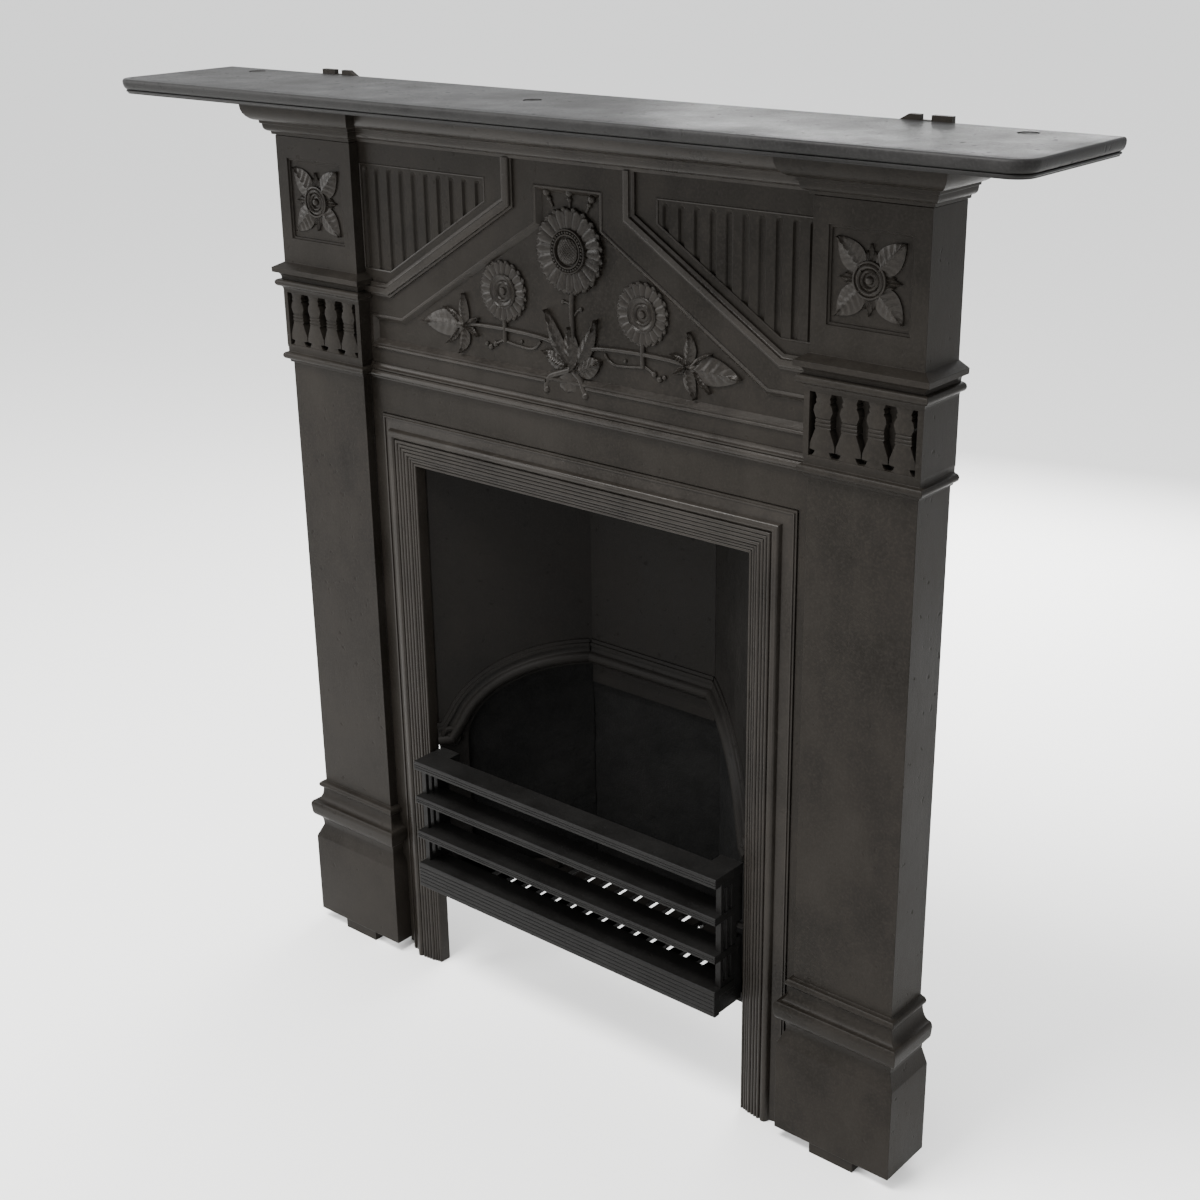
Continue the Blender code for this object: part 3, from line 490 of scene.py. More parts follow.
def pilaster_profile():
    base = profile((0.0114, 0.0100), ("flat", 0.0122, 0.0105), ("flat", 0.1060, 0.0105),
                   ("flat", 0.1075, 0.0100),
                   ("flat", 0.1205, 0.0042), ("flat", 0.1225, 0.0042), ("hollow", 0.1330, 0.0085),
                   ("round", 0.1395, 0.0128), ("flat", 0.1460, 0.0135), ("round", 0.1520, 0.0105),
                   ("hollow", 0.1665, 0.0025), ("flat", 0.1678, 0.0025), ("bead", 0.1755, 0.0018),
                   ("flat", 0.1764, 0.0))
    astragal = profile((0.6603, 0.0), ("flat", 0.6606, 0.0022), ("flat", 0.6632, 0.0026),
                       ("flat", 0.6638, 0.0040),
                       ("bead", 0.6712, 0.0040), ("flat", 0.6718, 0.0030), ("flat", 0.6760, 0.0030),
                       ("flat", BALUSTER_LOW - 0.0022, BALUSTER_FACE), ("flat", BALUSTER_LOW, BALUSTER_FACE),
                       ("flat", BALUSTER_LOW + 0.0004, -RECESS_BACK), ("flat", BALUSTER_HIGH - 0.0004,
                                                                       -RECESS_BACK),
                       ("flat", BALUSTER_HIGH, BALUSTER_FACE))
    cap = profile((0.7352, BALUSTER_FACE), ("hollow", 0.7392, 0.0052), ("flat", 0.7396, 0.0058),
                  ("bead", 0.7470, 0.0062), ("flat", 0.7474, 0.0042), ("hollow", 0.7538, 0.0080),
                  ("flat", 0.7541, 0.0108), ("flat", 0.7590, 0.0110), ("flat", 0.7642, 0.0012))
    return base + astragal + cap + [(0.8895, 0.0010)] + cornice(CORNICE_LOW)


print("pilaster profile:", len(pilaster_profile()), "points")

# %% Pilaster casting
PANEL_HALF = 0.0385
PANEL_LOW, PANEL_HIGH = 0.7890, 0.8685
BLOCK_LOW, BLOCK_HIGH = 0.762, 0.891
FOOT_HALF, FOOT_DEEP, FOOT_HIGH = 0.0240, 0.0245, 0.0200
HEEL_WIDE, HEEL_DEEP, HEEL_HIGH = 0.0064, 0.0220, 0.0300


def sunk_panel(bm, side):
    """Cuts a panel in the block's face and sinks it in two steps."""
    front = [f for f in bm.faces if f.normal.y < -0.9 and f.calc_center_median().y < SHAFT_Y
             and min(v.co.z for v in f.verts) > BLOCK_LOW and max(v.co.z for v in f.verts) < BLOCK_HIGH
             and f.calc_area() > 0.005]
    cuts = [((side * (PILASTER_X - PANEL_HALF), 0, 0), (1, 0, 0)),
            ((side * (PILASTER_X + PANEL_HALF), 0, 0), (1, 0, 0)),
            ((0, 0, PANEL_LOW), (0, 0, 1)), ((0, 0, PANEL_HIGH), (0, 0, 1))]
    piece = set(front)
    for spot, across in cuts:
        geom = list(piece) + [e for f in piece for e in f.edges] + [v for f in piece for v in f.verts]
        made = bmesh.ops.bisect_plane(bm, geom=list(set(geom)), plane_co=spot, plane_no=across)["geom"]
        piece |= set(faces_of(made))
    middle = Vector((side * PILASTER_X, 0, (PANEL_LOW + PANEL_HIGH) / 2))
    panel = [f for f in piece if (f.calc_center_median() - middle).to_2d().x ** 2 < 1e-5
             and abs(f.calc_center_median().z - middle.z) < 0.004]
    for thickness, depth in ((0.0006, -0.0016), (0.0024, 0.0), (0.0006, -0.0016)):
        bmesh.ops.inset_individual(bm, faces=panel, thickness=thickness, depth=depth)


def make_pilaster(word, side):
    bm = bmesh.new()
    outer = pilaster_profile()
    section = [(proud, height) for height, proud in outer]
    section += [(HOLLOW, outer[-1][0]), (HOLLOW, outer[0][0])]
    far, near = side * (PILASTER_X + SHAFT_HALF), side * (PILASTER_X - SHAFT_HALF)
    path = [(far, WALL_Y), (far, SHAFT_Y), (near, SHAFT_Y), (near, FRIEZE_Y - 0.0003)]
    section = [(side * left, height) for left, height in section]
    run_moulding(bm, section, path, level(0.0))
    bmesh.ops.recalc_face_normals(bm, faces=bm.faces)
    sunk_panel(bm, side)
    inner = sorted((near, near - side * HOLLOW))
    add_box(bm, (inner[0] + 1e-4, FRIEZE_Y - 0.0006, outer[0][0]),
            (inner[1] - 1e-4, WALL_Y, SHELF_UNDER - 0.001))
    foot_x, foot_y = side * PILASTER_X, SHAFT_Y - 0.0090
    add_box(bm, (foot_x - FOOT_HALF, foot_y, 0.0), (foot_x + FOOT_HALF, foot_y + FOOT_DEEP, FOOT_HIGH))
    heel = sorted((near, near + side * HEEL_WIDE))
    add_box(bm, (heel[0] + 5e-4, WALL_Y - HEEL_DEEP, 0.0), (heel[1], WALL_Y - 0.0005, HEEL_HIGH))
    return finish_piece(word + "_pilaster_casting", bm, POLISHED, stands_for=[word + "_pilaster"],
                        bevel=0.0006)


for word, side in SIDES:
    casting = make_pilaster(word, side)
    print(casting.name, len(casting.data.polygons), "faces")

# %% [markdown]
# ## Turned shapes
# Bosses, rings and scrolls are round. Spinning a half-profile round an axis makes one, and closes its ends.

# %% Turning


def move_new(bm, place):
    """Puts what was made since the last call in its place."""
    fresh = [v for v in bm.verts if not v.tag]
    bmesh.ops.transform(bm, matrix=place, verts=fresh)
    for vert in fresh:
        vert.tag = True


def add_turning(bm, turning, place, steps=20):
    """Spins a half-profile of (height, radius) round an upright axis, closes its ends and places it."""
    chain = [bm.verts.new((radius, 0, height)) for height, radius in turning]
    if turning[0][1] > 0:
        chain.insert(0, bm.verts.new((0, 0, turning[0][0])))
    if turning[-1][1] > 0:
        chain.append(bm.verts.new((0, 0, turning[-1][0])))
    edges = [bm.edges.new(pair) for pair in zip(chain, chain[1:])]
    bmesh.ops.spin(bm, geom=chain + edges, cent=(0, 0, 0), axis=(0, 0, 1), angle=math.tau, steps=steps,
                   use_merge=True)
    bmesh.ops.remove_doubles(bm, verts=[v for v in bm.verts if not v.tag], dist=1e-6)
    move_new(bm, place)


print("turning helper ready")

# %% [markdown]
# ## The frieze plate
# The frieze is one casting on three levels. Its face carries a raised band that follows a gable, two
# corners are sunk and fluted, and the middle panel is sunk with a bevelled border for the sunflowers to
# grow in. A plate with three holes makes the face, a plainer plate closes them from behind, and runs of
# moulding trim every edge.

# %% Frieze: face, panels and mouldings
PANEL_SINK = 0.0035
FRIEZE_HALF = FRIEZE_HIGH.x
RELIEF_HALF = PILASTER_X - SHAFT_HALF
FRIEZE_FOOT = 0.6245
LEG_IN = 0.2525
LEG_FOOT = FRIEZE_LOW.z
GABLE_KNEE, GABLE_PEAK = (0.2330, 0.7500), (0.0710, 0.8505)
GABLE_SLOPE = math.atan2(GABLE_PEAK[1] - GABLE_KNEE[1], GABLE_KNEE[0] - GABLE_PEAK[0])
BAND = [(RELIEF_HALF - 0.0008, GABLE_KNEE[1]), GABLE_KNEE, GABLE_PEAK, (GABLE_PEAK[0], CORNICE_LOW + 0.001)]
FRIEZE_FACE = upright(FRIEZE_Y)
PANEL = [(0.2600, 0.6940), (0.2600, 0.7235), (0.2180, 0.7235), (0.0390, 0.8360), (0.0390, 0.8690)]
FLUTED = [(0.2655, 0.7680), (0.2295, 0.7680), (0.1005, 0.8485), (0.1005, 0.8700), (0.2655, 0.8700)]
STRING_LOW, STRING_HIGH = 0.6596, 0.6750
PANEL_LOOP = mirrored(PANEL)


def make_frieze():
    bm = bmesh.new()

    def outline(trim):
        """The plate with its two narrow legs, a little smaller all round by the trim."""
        inner, outer = LEG_IN + trim, FRIEZE_HALF - trim
        return mirrored([(inner, FRIEZE_FOOT + trim), (inner, LEG_FOOT + trim), (outer, LEG_FOOT + trim),
                         (outer, CORNICE_TOP - trim)])

    holes = [PANEL_LOOP, FLUTED, [(-a, b) for a, b in FLUTED]]
    add_plate(bm, outline(0.0), holes, PANEL_SINK + 0.0002, FRIEZE_FACE)
    add_plate(bm, outline(1e-4), [], FRIEZE_HIGH.y - FRIEZE_Y - PANEL_SINK, upright(FRIEZE_Y + PANEL_SINK))
    return finish_piece("frieze_casting", bm, POLISHED, stands_for=["frieze_plate"])


def make_frieze_mouldings():
    bm = bmesh.new()
    bite = -0.002
    across = [(-RELIEF_HALF - 0.0010, 0.0), (RELIEF_HALF + 0.0010, 0.0)]
    run_moulding(bm, cornice(CORNICE_LOW) + [(CORNICE_TOP, bite), (CORNICE_LOW, bite)], across, FRIEZE_FACE)
    z = STRING_LOW
    string = profile((z, 0.0010), ("flat", z + 0.0005, 0.0028), ("flat", z + 0.0022, 0.0030),
                     ("bead", z + 0.0092, 0.0030), ("flat", z + 0.0097, 0.0044), ("flat", z + 0.0112, 0.0044),
                     ("hollow", STRING_HIGH, 0.0010))
    across = [(-RELIEF_HALF + 0.0004, 0.0), (RELIEF_HALF - 0.0004, 0.0)]
    run_moulding(bm, string + [(STRING_HIGH, bite), (STRING_LOW, bite)], across, FRIEZE_FACE)
    band = profile((-0.0068, 0.0), ("flat", -0.0066, 0.0020), ("flat", -0.0046, 0.0022),
                   ("flat", -0.0044, 0.0034),
                   ("round", -0.0020, 0.0052), ("flat", 0.0024, 0.0052), ("hollow", 0.0050, 0.0024),
                   ("flat", 0.0066, 0.0022), ("flat", 0.0068, 0.0))
    for side in (-1, 1):
        section = [(-side * a, b) for a, b in band + [(0.0068, bite), (-0.0068, bite)]]
        run_moulding(bm, section, [(side * a, b) for a, b in BAND], FRIEZE_FACE)
    return finish_piece("frieze_mouldings", bm, RUBBED_IRON_WITH_PAINTED_SHEEN, smooth=28)


def make_panel_borders():
    """The bevels round the three sunk panels, and the bead along the middle panel's foot."""
    bm = bmesh.new()
    bevel = [(0.0010, 0.0004), (0.0, 0.0010), (-0.0016, 0.0008), (-0.0052, -PANEL_SINK + 0.0004),
             (-0.0060, -PANEL_SINK - 0.0004), (0.0010, -PANEL_SINK - 0.0004)]
    run_moulding(bm, [(-a, b) for a, b in bevel], PANEL_LOOP, FRIEZE_FACE, loop=True)
    sharp = [(0.0006, 0.0002), (0.0, 0.0006), (-0.0010, 0.0002), (-0.0014, -PANEL_SINK - 0.0004),
             (0.0006, -PANEL_SINK - 0.0004)]
    for side in (-1, 1):
        section = [(side * a, b) for a, b in sharp]
        run_moulding(bm, section, [(side * a, b) for a, b in FLUTED], FRIEZE_FACE, loop=True)
    foot = profile((-0.0018, 0.0004), ("bead", 0.0018, 0.0008)) + [(0.0018, -0.002), (-0.0018, -0.002)]
    for path in (((-0.2590, 0.6920), (-0.0300, 0.6920)), ((0.0190, 0.6920), (0.2590, 0.6920))):
        run_moulding(bm, foot, path, FRIEZE_FACE)
    return finish_piece("frieze_panel_borders", bm, RUBBED_IRON_WITH_PAINTED_SHEEN, smooth=28)


make_frieze()
make_frieze_mouldings()
make_panel_borders()
print("frieze: gable slope", round(math.degrees(GABLE_SLOPE), 1), "degrees")

# %% [markdown]
# ## Flutes
# Each sunk corner is filled with upright flutes: narrow channels with steep sides and a rounded head, and a
# broad flat rib between each two. A fine grid is laid over the corner, its foot cut to the slope, and
# pushed back where a channel runs.

# %% Fluted corners
FLUTE_PITCH = 0.0166
FLUTE_HALF = 0.0033
FLUTE_HEAD = 0.8665
FLUTE_DEEP = 0.0021
RIB_PROUD = 0.0030


def flute_depth(across, z):
    """How far the surface lies behind the ribs, at a distance from the middle of a flute."""
    head = max(0.0, z - (FLUTE_HEAD - FLUTE_HALF))
    off = math.hypot(across, head) / FLUTE_HALF
    return FLUTE_DEEP * min(1.0, max(0.0, 1 - off) * 3.0)


def make_flutes(word, side):
    bm = bmesh.new()
    inner, outer = FLUTED[2][0] + 0.0008, FLUTED[0][0] + 0.0012
    columns, rows = 240, 22
    bmesh.ops.create_grid(bm, x_segments=columns, y_segments=rows, size=0.5)
    for vert in bm.verts:
        across = inner + (vert.co.x + 0.5) * (outer - inner)
        slope = (across - FLUTED[2][0]) * math.tan(GABLE_SLOPE)
        foot = max(FLUTED[0][1], FLUTED[2][1] - slope) + 0.0003
        share = 1 - (0.5 - vert.co.y) ** 2.6
        z = foot + share * (FLUTED[3][1] - 0.0004 - foot)
        spot = (across - inner) % FLUTE_PITCH - FLUTE_PITCH / 2
        vert.co = (side * across, FRIEZE_Y + PANEL_SINK - RIB_PROUD + flute_depth(spot, z), z)
    rim = [e for e in bm.edges if e.is_boundary]
    made = bmesh.ops.extrude_edge_only(bm, edges=rim)["geom"]
    for vert in verts_of(made):
        vert.co.y = FRIEZE_Y + PANEL_SINK + 0.0008
    closed_ends(bm)
    return finish_piece(word + "_flutes", bm, POLISHED, smooth=40)


for word, side in SIDES:
    print(word, "corner:", len(make_flutes(word, side).data.polygons), "faces")

# %% [markdown]
# ## The frame round the opening
# A separate casting lines the opening. From the outside in it has a double fillet, a sloping flat, a broad
# torus and then a fall of reeds that get finer towards the opening. It is mitred at the top corners like a
# picture frame, so one section run down a leg, along the lintel and down the other leg makes it.

# %% Opening frame
OPENING_HALF = 0.205
OPENING_TOP = 0.577


def reeds(start, count, width, proud, fall):
    """A row of small beads. Each stands a little further back than the one before it."""
    parts = []
    for i in range(count):
        base = proud + (i + 1) * fall
        parts.append(("bead", start + (i + 1) * width - 0.0003, base - 0.0006))
        parts.append(("flat", start + (i + 1) * width, base - 0.0004))
    return parts


def make_opening_frame():
    bm = bmesh.new()
    outline = profile((0.0, 0.0320), ("flat", 0.0, 0.0440), *reeds(0.0002, 3, 0.0030, 0.0440, 0.0007),
                      *reeds(0.0096, 4, 0.0038, 0.0462, 0.0005), ("flat", 0.0252, 0.0466),
                      ("bead", 0.0335, 0.0458), ("flat", 0.0340, 0.0444), ("flat", 0.0428, 0.0418),
                      ("flat", 0.0432, 0.0430), ("flat", 0.0446, 0.0430), ("flat", 0.0450, 0.0418),
                      ("flat", 0.0466, 0.0416), ("flat", 0.0470, 0.0320))
    path = [(-OPENING_HALF, 0.0), (-OPENING_HALF, OPENING_TOP), (OPENING_HALF, OPENING_TOP),
            (OPENING_HALF, 0.0)]
    run_moulding(bm, outline, path, upright(WALL_Y))
    strip = [(0.0400, 0.0268), (0.0400, 0.0328), (0.0606, 0.0328), (0.0606, 0.0268)]
    run_moulding(bm, strip, path, upright(WALL_Y))
    return finish_piece("opening_frame_casting", bm, RUBBED_IRON_WITH_PAINTED_SHEEN, stands_for=["opening_frame"], smooth=30)


print("opening frame:", len(make_opening_frame().data.polygons), "faces")

# %% [markdown]
# ## The fire chamber
# The cheeks splay inwards from the frame to the fireback. Each is a flat plate with an arch cut out of it
# over its firebrick, and a roll moulding follows the arch, starting from a small shoulder by the grate. A
# cheek is easiest to draw flat, as distance along it and height, and then stand up in its place.

# %% Cheeks and fireback
CHEEK_FRONT = Vector((0.2045, WALL_Y - 0.0315))
CHEEK_BACK = Vector((0.0800, WALL_Y + 0.0760))
CHEEK_RUN = CHEEK_BACK - CHEEK_FRONT
CHEEK_LONG = CHEEK_RUN.length
PLATE = 0.005
CHAMBER_LOW, CHAMBER_HIGH = (corner.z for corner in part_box("left_cheek"))
ARCH_FOOT = Vector((0.031, 0.268))
ARCH_CROWN = 0.356
LIP_LOW = 0.335
CHEEK_END = CHEEK_LONG + 0.0030
FLANGE_LOW, FLANGE_HIGH, FLANGE_WIDE = 0.285, 0.612, 0.0265
SCROLL = ((-0.003, 0.0115), (0.0045, 0.0115), (0.0072, 0.0098), (0.0072, 0.0076), (0.0052, 0.0066),
          (0.0052, 0.0050), (0.0080, 0.0040), (0.0088, 0.0))
SCROLL_SPOT = (0.0135, 0.2760, 0.0)


def cheek_place(side):
    """Local x runs back along the cheek, local y is up, and proud is towards the fire."""
    along = CHEEK_RUN.normalized()
    columns = (Vector((side * along.x, along.y, 0)), Vector((0, 0, 1)), Vector((-side * along.y, along.x, 0)))
    turn = Matrix(columns).transposed().to_4x4()
    return Matrix.Translation((side * CHEEK_FRONT.x, CHEEK_FRONT.y, 0)) @ turn


def arch_line(steps=28):
    """The edge of the arch, from its foot by the grate to its crown at the fireback."""
    run, rise = CHEEK_LONG - ARCH_FOOT.x, ARCH_CROWN - ARCH_FOOT.y
    turns = [math.pi / 2 * i / steps for i in range(steps + 1)]
    return [(CHEEK_LONG - run * math.cos(turn), ARCH_FOOT.y + rise * math.sin(turn)) for turn in turns]


def arch_roll():
    """The moulding that follows the arch: a fillet, a broad roll, a hollow and two fine fillets."""
    return profile((0.0, -0.003), ("flat", 0.0, 0.0020), ("flat", 0.0026, 0.0024), ("flat", 0.0030, 0.0042),
                   ("bead", 0.0146, 0.0052), ("hollow", 0.0205, 0.0022), ("flat", 0.0210, 0.0042),
                   ("flat", 0.0240, 0.0038), ("flat", 0.0244, 0.0022), ("flat", 0.0276, 0.0016),
                   ("flat", 0.0278, -0.003))


def make_cheek(word, side):
    bm = bmesh.new()
    place = cheek_place(side)
    add_turning(bm, SCROLL, place @ Matrix.Translation(SCROLL_SPOT), 32)
    top = [(CHEEK_END, CHAMBER_HIGH), (0.0, CHAMBER_HIGH)]
    outline = [(0.0, CHAMBER_LOW), (ARCH_FOOT.x, CHAMBER_LOW)] + arch_line()
    add_plate(bm, outline + [(CHEEK_END, ARCH_CROWN)] + top, [], PLATE, place)
    shoulder = [(0.0010, 0.2620), (0.0200, 0.2640)]
    path = shoulder + arch_line()[5:-1] + [(CHEEK_LONG - 0.0024, ARCH_CROWN)]
    run_moulding(bm, arch_roll(), path, place)
    flange = sorted((side * (CHEEK_FRONT.x - 0.0005), side * (CHEEK_FRONT.x + FLANGE_WIDE)))
    add_box(bm, (flange[0], CHEEK_FRONT.y, FLANGE_LOW), (flange[1], CHEEK_FRONT.y + PLATE, FLANGE_HIGH))
    return finish_piece(word + "_cheek_casting", bm, SOOTED, stands_for=[word + "_cheek"])


def make_fireback():
    bm = bmesh.new()
    half = CHEEK_BACK.x - 0.0004
    add_box(bm, (-half, CHEEK_BACK.y, LIP_LOW), (half, CHEEK_BACK.y + PLATE, CHAMBER_HIGH))
    face = upright(CHEEK_BACK.y)
    run_moulding(bm, arch_roll(), [(-half + 0.0005, ARCH_CROWN), (half - 0.0005, ARCH_CROWN)], face)
    return finish_piece("fireback_casting", bm, SOOTED, stands_for=["fireback_plate"])


for word, side in SIDES:
    make_cheek(word, side)
make_fireback()
print("cheeks: arch of", len(arch_line()), "points on a run of", round(CHEEK_LONG, 4), "m")

# %% [markdown]
# ## Firebricks
# The bricks are moulded fireclay, rough and chipped. Each is a block cut into many small faces, which are
# pushed in by noise, more at the edges where a brick crumbles.

# %% Rough blocks
BRICK = 0.022
BRICK_CELL = 0.0045


def rough_block(name, low, high, place):
    bm = bmesh.new()
    low, high = Vector(low), Vector(high)
    add_box(bm, low, high)
    for axis in range(3):
        along = [e for e in bm.edges if abs((e.verts[0].co - e.verts[1].co).normalized()[axis]) > 0.9]
        cuts = max(1, round((high - low)[axis] / BRICK_CELL))
        bmesh.ops.subdivide_edges(bm, edges=along, cuts=cuts, use_grid_fill=True)
    middle = (low + high) / 2
    for vert in bm.verts:
        pull = min(0.0,
                   (noise.noise(vert.co * 60) * 0.55 + noise.noise(vert.co * 190) * 0.35) * 0.0016 - 0.0008)
        vert.co += Vector([math.copysign(1, c - m) * pull if abs(c - m) > size / 2 - 1e-5 else 0
                           for c, m, size in zip(vert.co, middle, high - low)])
    bmesh.ops.transform(bm, matrix=place, verts=bm.verts)
    return finish_piece(name + "_rough", bm, FIRECLAY, stands_for=[name], smooth=60)


def make_bricks():
    low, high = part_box("back_firebrick")
    back = rough_block("back_firebrick", low, high, Matrix.Identity(4))
    for word, side in SIDES:
        depth = -PLATE - 0.0003
        start, stop = 0.0165, CHEEK_LONG + 0.0015
        rough_block(word + "_firebrick", (start, low.z, depth - BRICK), (stop, high.z, depth),
                    cheek_place(side))
    return back


print("back brick:", len(make_bricks().data.polygons), "faces")

# %% [markdown]
# ## The grate
# The grate front is one casting: a flat ledge, two thin slats, a deeper bottom rail and a plate at each
# end. The front of every bar has two fine grooves, so each bar is a grooved section run from end to end.

# %% Grate front
GRATE_HALF = GRATE_HIGH.x
BAR_Y = GRATE_LOW.y
END_BACK = GRATE_HIGH.y
LEDGE_TOP = GRATE_HIGH.z
RAIL_LOW = GRATE_LOW.z
BAR_PITCH = 0.0410
LEDGE_HIGH, SLAT_HIGH, RAIL_HIGH = 0.0102, 0.0084, 0.0285
RAIL_THICK = 0.0085


def bar_section(top, high, deep, grooves=2):
    """A bar seen from its end: (distance back from the front, height)."""
    front = [(0.0012, top - high), (0.0, top - high + 0.0010)]
    step = (high - 0.0024) / (grooves + 1)
    for i in range(1, grooves + 1):
        z = top - high + 0.0012 + step * i
        front += [(0.0, z - 0.0006), (0.0011, z), (0.0, z + 0.0006)]
    front += [(0.0, top - 0.0010), (0.0010, top), (deep, top), (deep, top - min(high, RAIL_THICK))]
    if high > RAIL_THICK:
        front += [(RAIL_THICK, top - RAIL_THICK), (RAIL_THICK, top - high)]
    return front


def run_bar(bm, section, half):
    run_moulding(bm, section, [(-half, BAR_Y), (half, BAR_Y)], level(0.0))


def make_grate_front():
    bm = bmesh.new()
    run_bar(bm, bar_section(LEDGE_TOP, LEDGE_HIGH, 0.0280), GRATE_HALF)
    for number in (1, 2):
        run_bar(bm, bar_section(LEDGE_TOP - BAR_PITCH * number, SLAT_HIGH, 0.0330), GRATE_HALF - 0.0002)
    run_bar(bm, bar_section(RAIL_LOW + RAIL_HIGH, RAIL_HIGH, 0.0320, 5), GRATE_HALF)
    for side in (-1, 1):
        place = Matrix(((0, 0, side, side * (GRATE_HALF - 0.0006)), (1, 0, 0, 0), (0, 1, 0, 0), (0, 0, 0, 1)))
        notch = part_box("left_grate_stud")[1].z + 0.0005
        outline = [(BAR_Y + 0.010, RAIL_LOW + 0.001), (END_BACK, RAIL_LOW + 0.001), (END_BACK, notch - 0.016),
                   (END_BACK - 0.0085, notch - 0.016), (END_BACK - 0.0085, notch), (END_BACK, notch),
                   (END_BACK, LEDGE_TOP - 0.0004), (BAR_Y + 0.010, LEDGE_TOP - 0.0004)]
        low, high = RAIL_LOW + 0.0340, LEDGE_TOP - 0.0160
        slots = [[(y - 0.0022, low), (y + 0.0022, low), (y + 0.0022, high), (y - 0.0022, high)]
                 for y in (BAR_Y + 0.0165, BAR_Y + 0.0245)]
        add_plate(bm, outline, slots, 0.0062, place)
        horn = sorted((side * (GRATE_HALF - 0.0255), side * (GRATE_HALF - 0.0002)))
        add_box(bm, (horn[0], BAR_Y + 0.0265, LEDGE_TOP - 0.0096),
                (horn[1], END_BACK - 0.0003, LEDGE_TOP - 0.0002))
    return finish_piece("grate_front_casting", bm, GRATE_IRON, "grate_front_body", ["grate_front"], 0.0004,
                        28)


print("grate front:", len(make_grate_front().data.polygons), "faces")

# %% Bottom grate
SLOTS = 14
SLOT_PITCH = 0.0213
SLOT_HALF = 0.0045
SLOT_RIM = 0.0085
SIDE_GAP = 0.0065


def make_bottom_grate():
    bm = bmesh.new()
    low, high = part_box("bottom_grate")
    slope = CHEEK_RUN.x / CHEEK_RUN.y

    def reach(x, margin):
        """How far back the splayed side lets the plate go at this distance from the middle."""
        return CHEEK_FRONT.y + (abs(x) + margin - CHEEK_FRONT.x) / slope

    edge = reach(high.x, SIDE_GAP)
    back_x = CHEEK_FRONT.x + slope * (high.y - CHEEK_FRONT.y) - SIDE_GAP
    outline = mirrored([(high.x, low.y), (high.x, edge), (back_x, high.y)])
    slots = []
    for i in range(SLOTS):
        x = SLOT_PITCH * (i - (SLOTS - 1) / 2)
        back = min(high.y - SLOT_RIM, reach(abs(x) + SLOT_HALF, SIDE_GAP) - SLOT_RIM) - SLOT_HALF
        front = low.y + SLOT_RIM + SLOT_HALF
        slots.append(arc((x, back), SLOT_HALF, 0, 180, 6) + arc((x, front), SLOT_HALF, 180, 360, 6))
    add_plate(bm, outline, slots, high.z - low.z, level(high.z))
    return finish_piece("bottom_grate_casting", bm, SOOTED, "bottom_grate_body", ["bottom_grate"], 0.0008,
                        40)


print("bottom grate:", len(make_bottom_grate().data.polygons), "faces")

# %% [markdown]
# ## Relief
# The ornament is cast in low relief: leaves with a midrib and side veins, petals with blunt tips, round
# stems, berries and beads. A leaf is a fine grid bent to its outline. Its edge is carried back into the
# plate, so every leaf is a small solid that stands on the panel.

# %% Leaves and petals
LEAF_VEINS = 6
RELIEF_BITE = 0.0006


def leaf_outline(u):
    """Half the width of a pointed leaf, from its base to its tip."""
    return math.sin(math.pi * u ** 0.78) ** 0.85 if 0 < u < 1 else 0.0


def petal_outline(u):
    """Half the width of a petal: narrow at the ring, widest near its blunt tip."""
    return (0.55 + 0.45 * min(1.0, u / 0.72)) * math.sqrt(max(0.0, 1 - max(0.0, (u - 0.74) / 0.26) ** 2.4))


def leaf_height(u, v):
    """A rounded leaf with a sharp midrib and side veins that slope towards the tip."""
    round_over = 0.45 + 0.40 * (1 - v * v)
    midrib = 0.42 * max(0.0, 1 - abs(v) / 0.26)
    veins = 0.17 * math.cos(math.tau * (LEAF_VEINS * u - 1.1 * abs(v))) * min(1.0, 2 * (1 - abs(v)))
    return round_over + midrib + veins


def petal_height(u, v):
    """A tongue with a rounded back and a shallow groove down the middle."""
    return 0.62 + 0.38 * (1 - v * v) * (0.55 + 0.45 * u) - 0.16 * max(0.0, 1 - abs(v) / 0.3) * u


def add_leaf(bm, place, length, width, rise, outline=leaf_outline, height=leaf_height, bend=0.0,
             cells=(26, 10)):
    """A leaf along local x from the origin. Bend moves its middle sideways."""
    grid = bmesh.ops.create_grid(bm, x_segments=cells[0], y_segments=cells[1], size=0.5)["verts"]
    for vert in grid:
        u, v = vert.co.x + 0.5, vert.co.y * 2
        half = max(0.0003, width / 2 * outline(u))
        vert.co = (length * u, half * v + bend * math.sin(math.pi * u), rise * height(u, v))
    faces = {face for vert in grid for face in vert.link_faces}
    rim = [e for face in faces for e in face.edges if e.is_boundary]
    made = bmesh.ops.extrude_edge_only(bm, edges=list(set(rim)))["geom"]
    for vert in verts_of(made):
        vert.co.z = -RELIEF_BITE
    bmesh.ops.contextual_create(bm, geom=[e for e in edges_of(made) if e.is_boundary])
    move_new(bm, place)


def grown(face, start, end, proud=0.0):
    """The place of a leaf that grows from one point of a face to another, and its length."""
    run = Vector(end) - Vector(start)
    turn = Matrix.Rotation(math.atan2(run.y, run.x), 4, "Z")
    return face @ Matrix.Translation((*start, proud)) @ turn, run.length


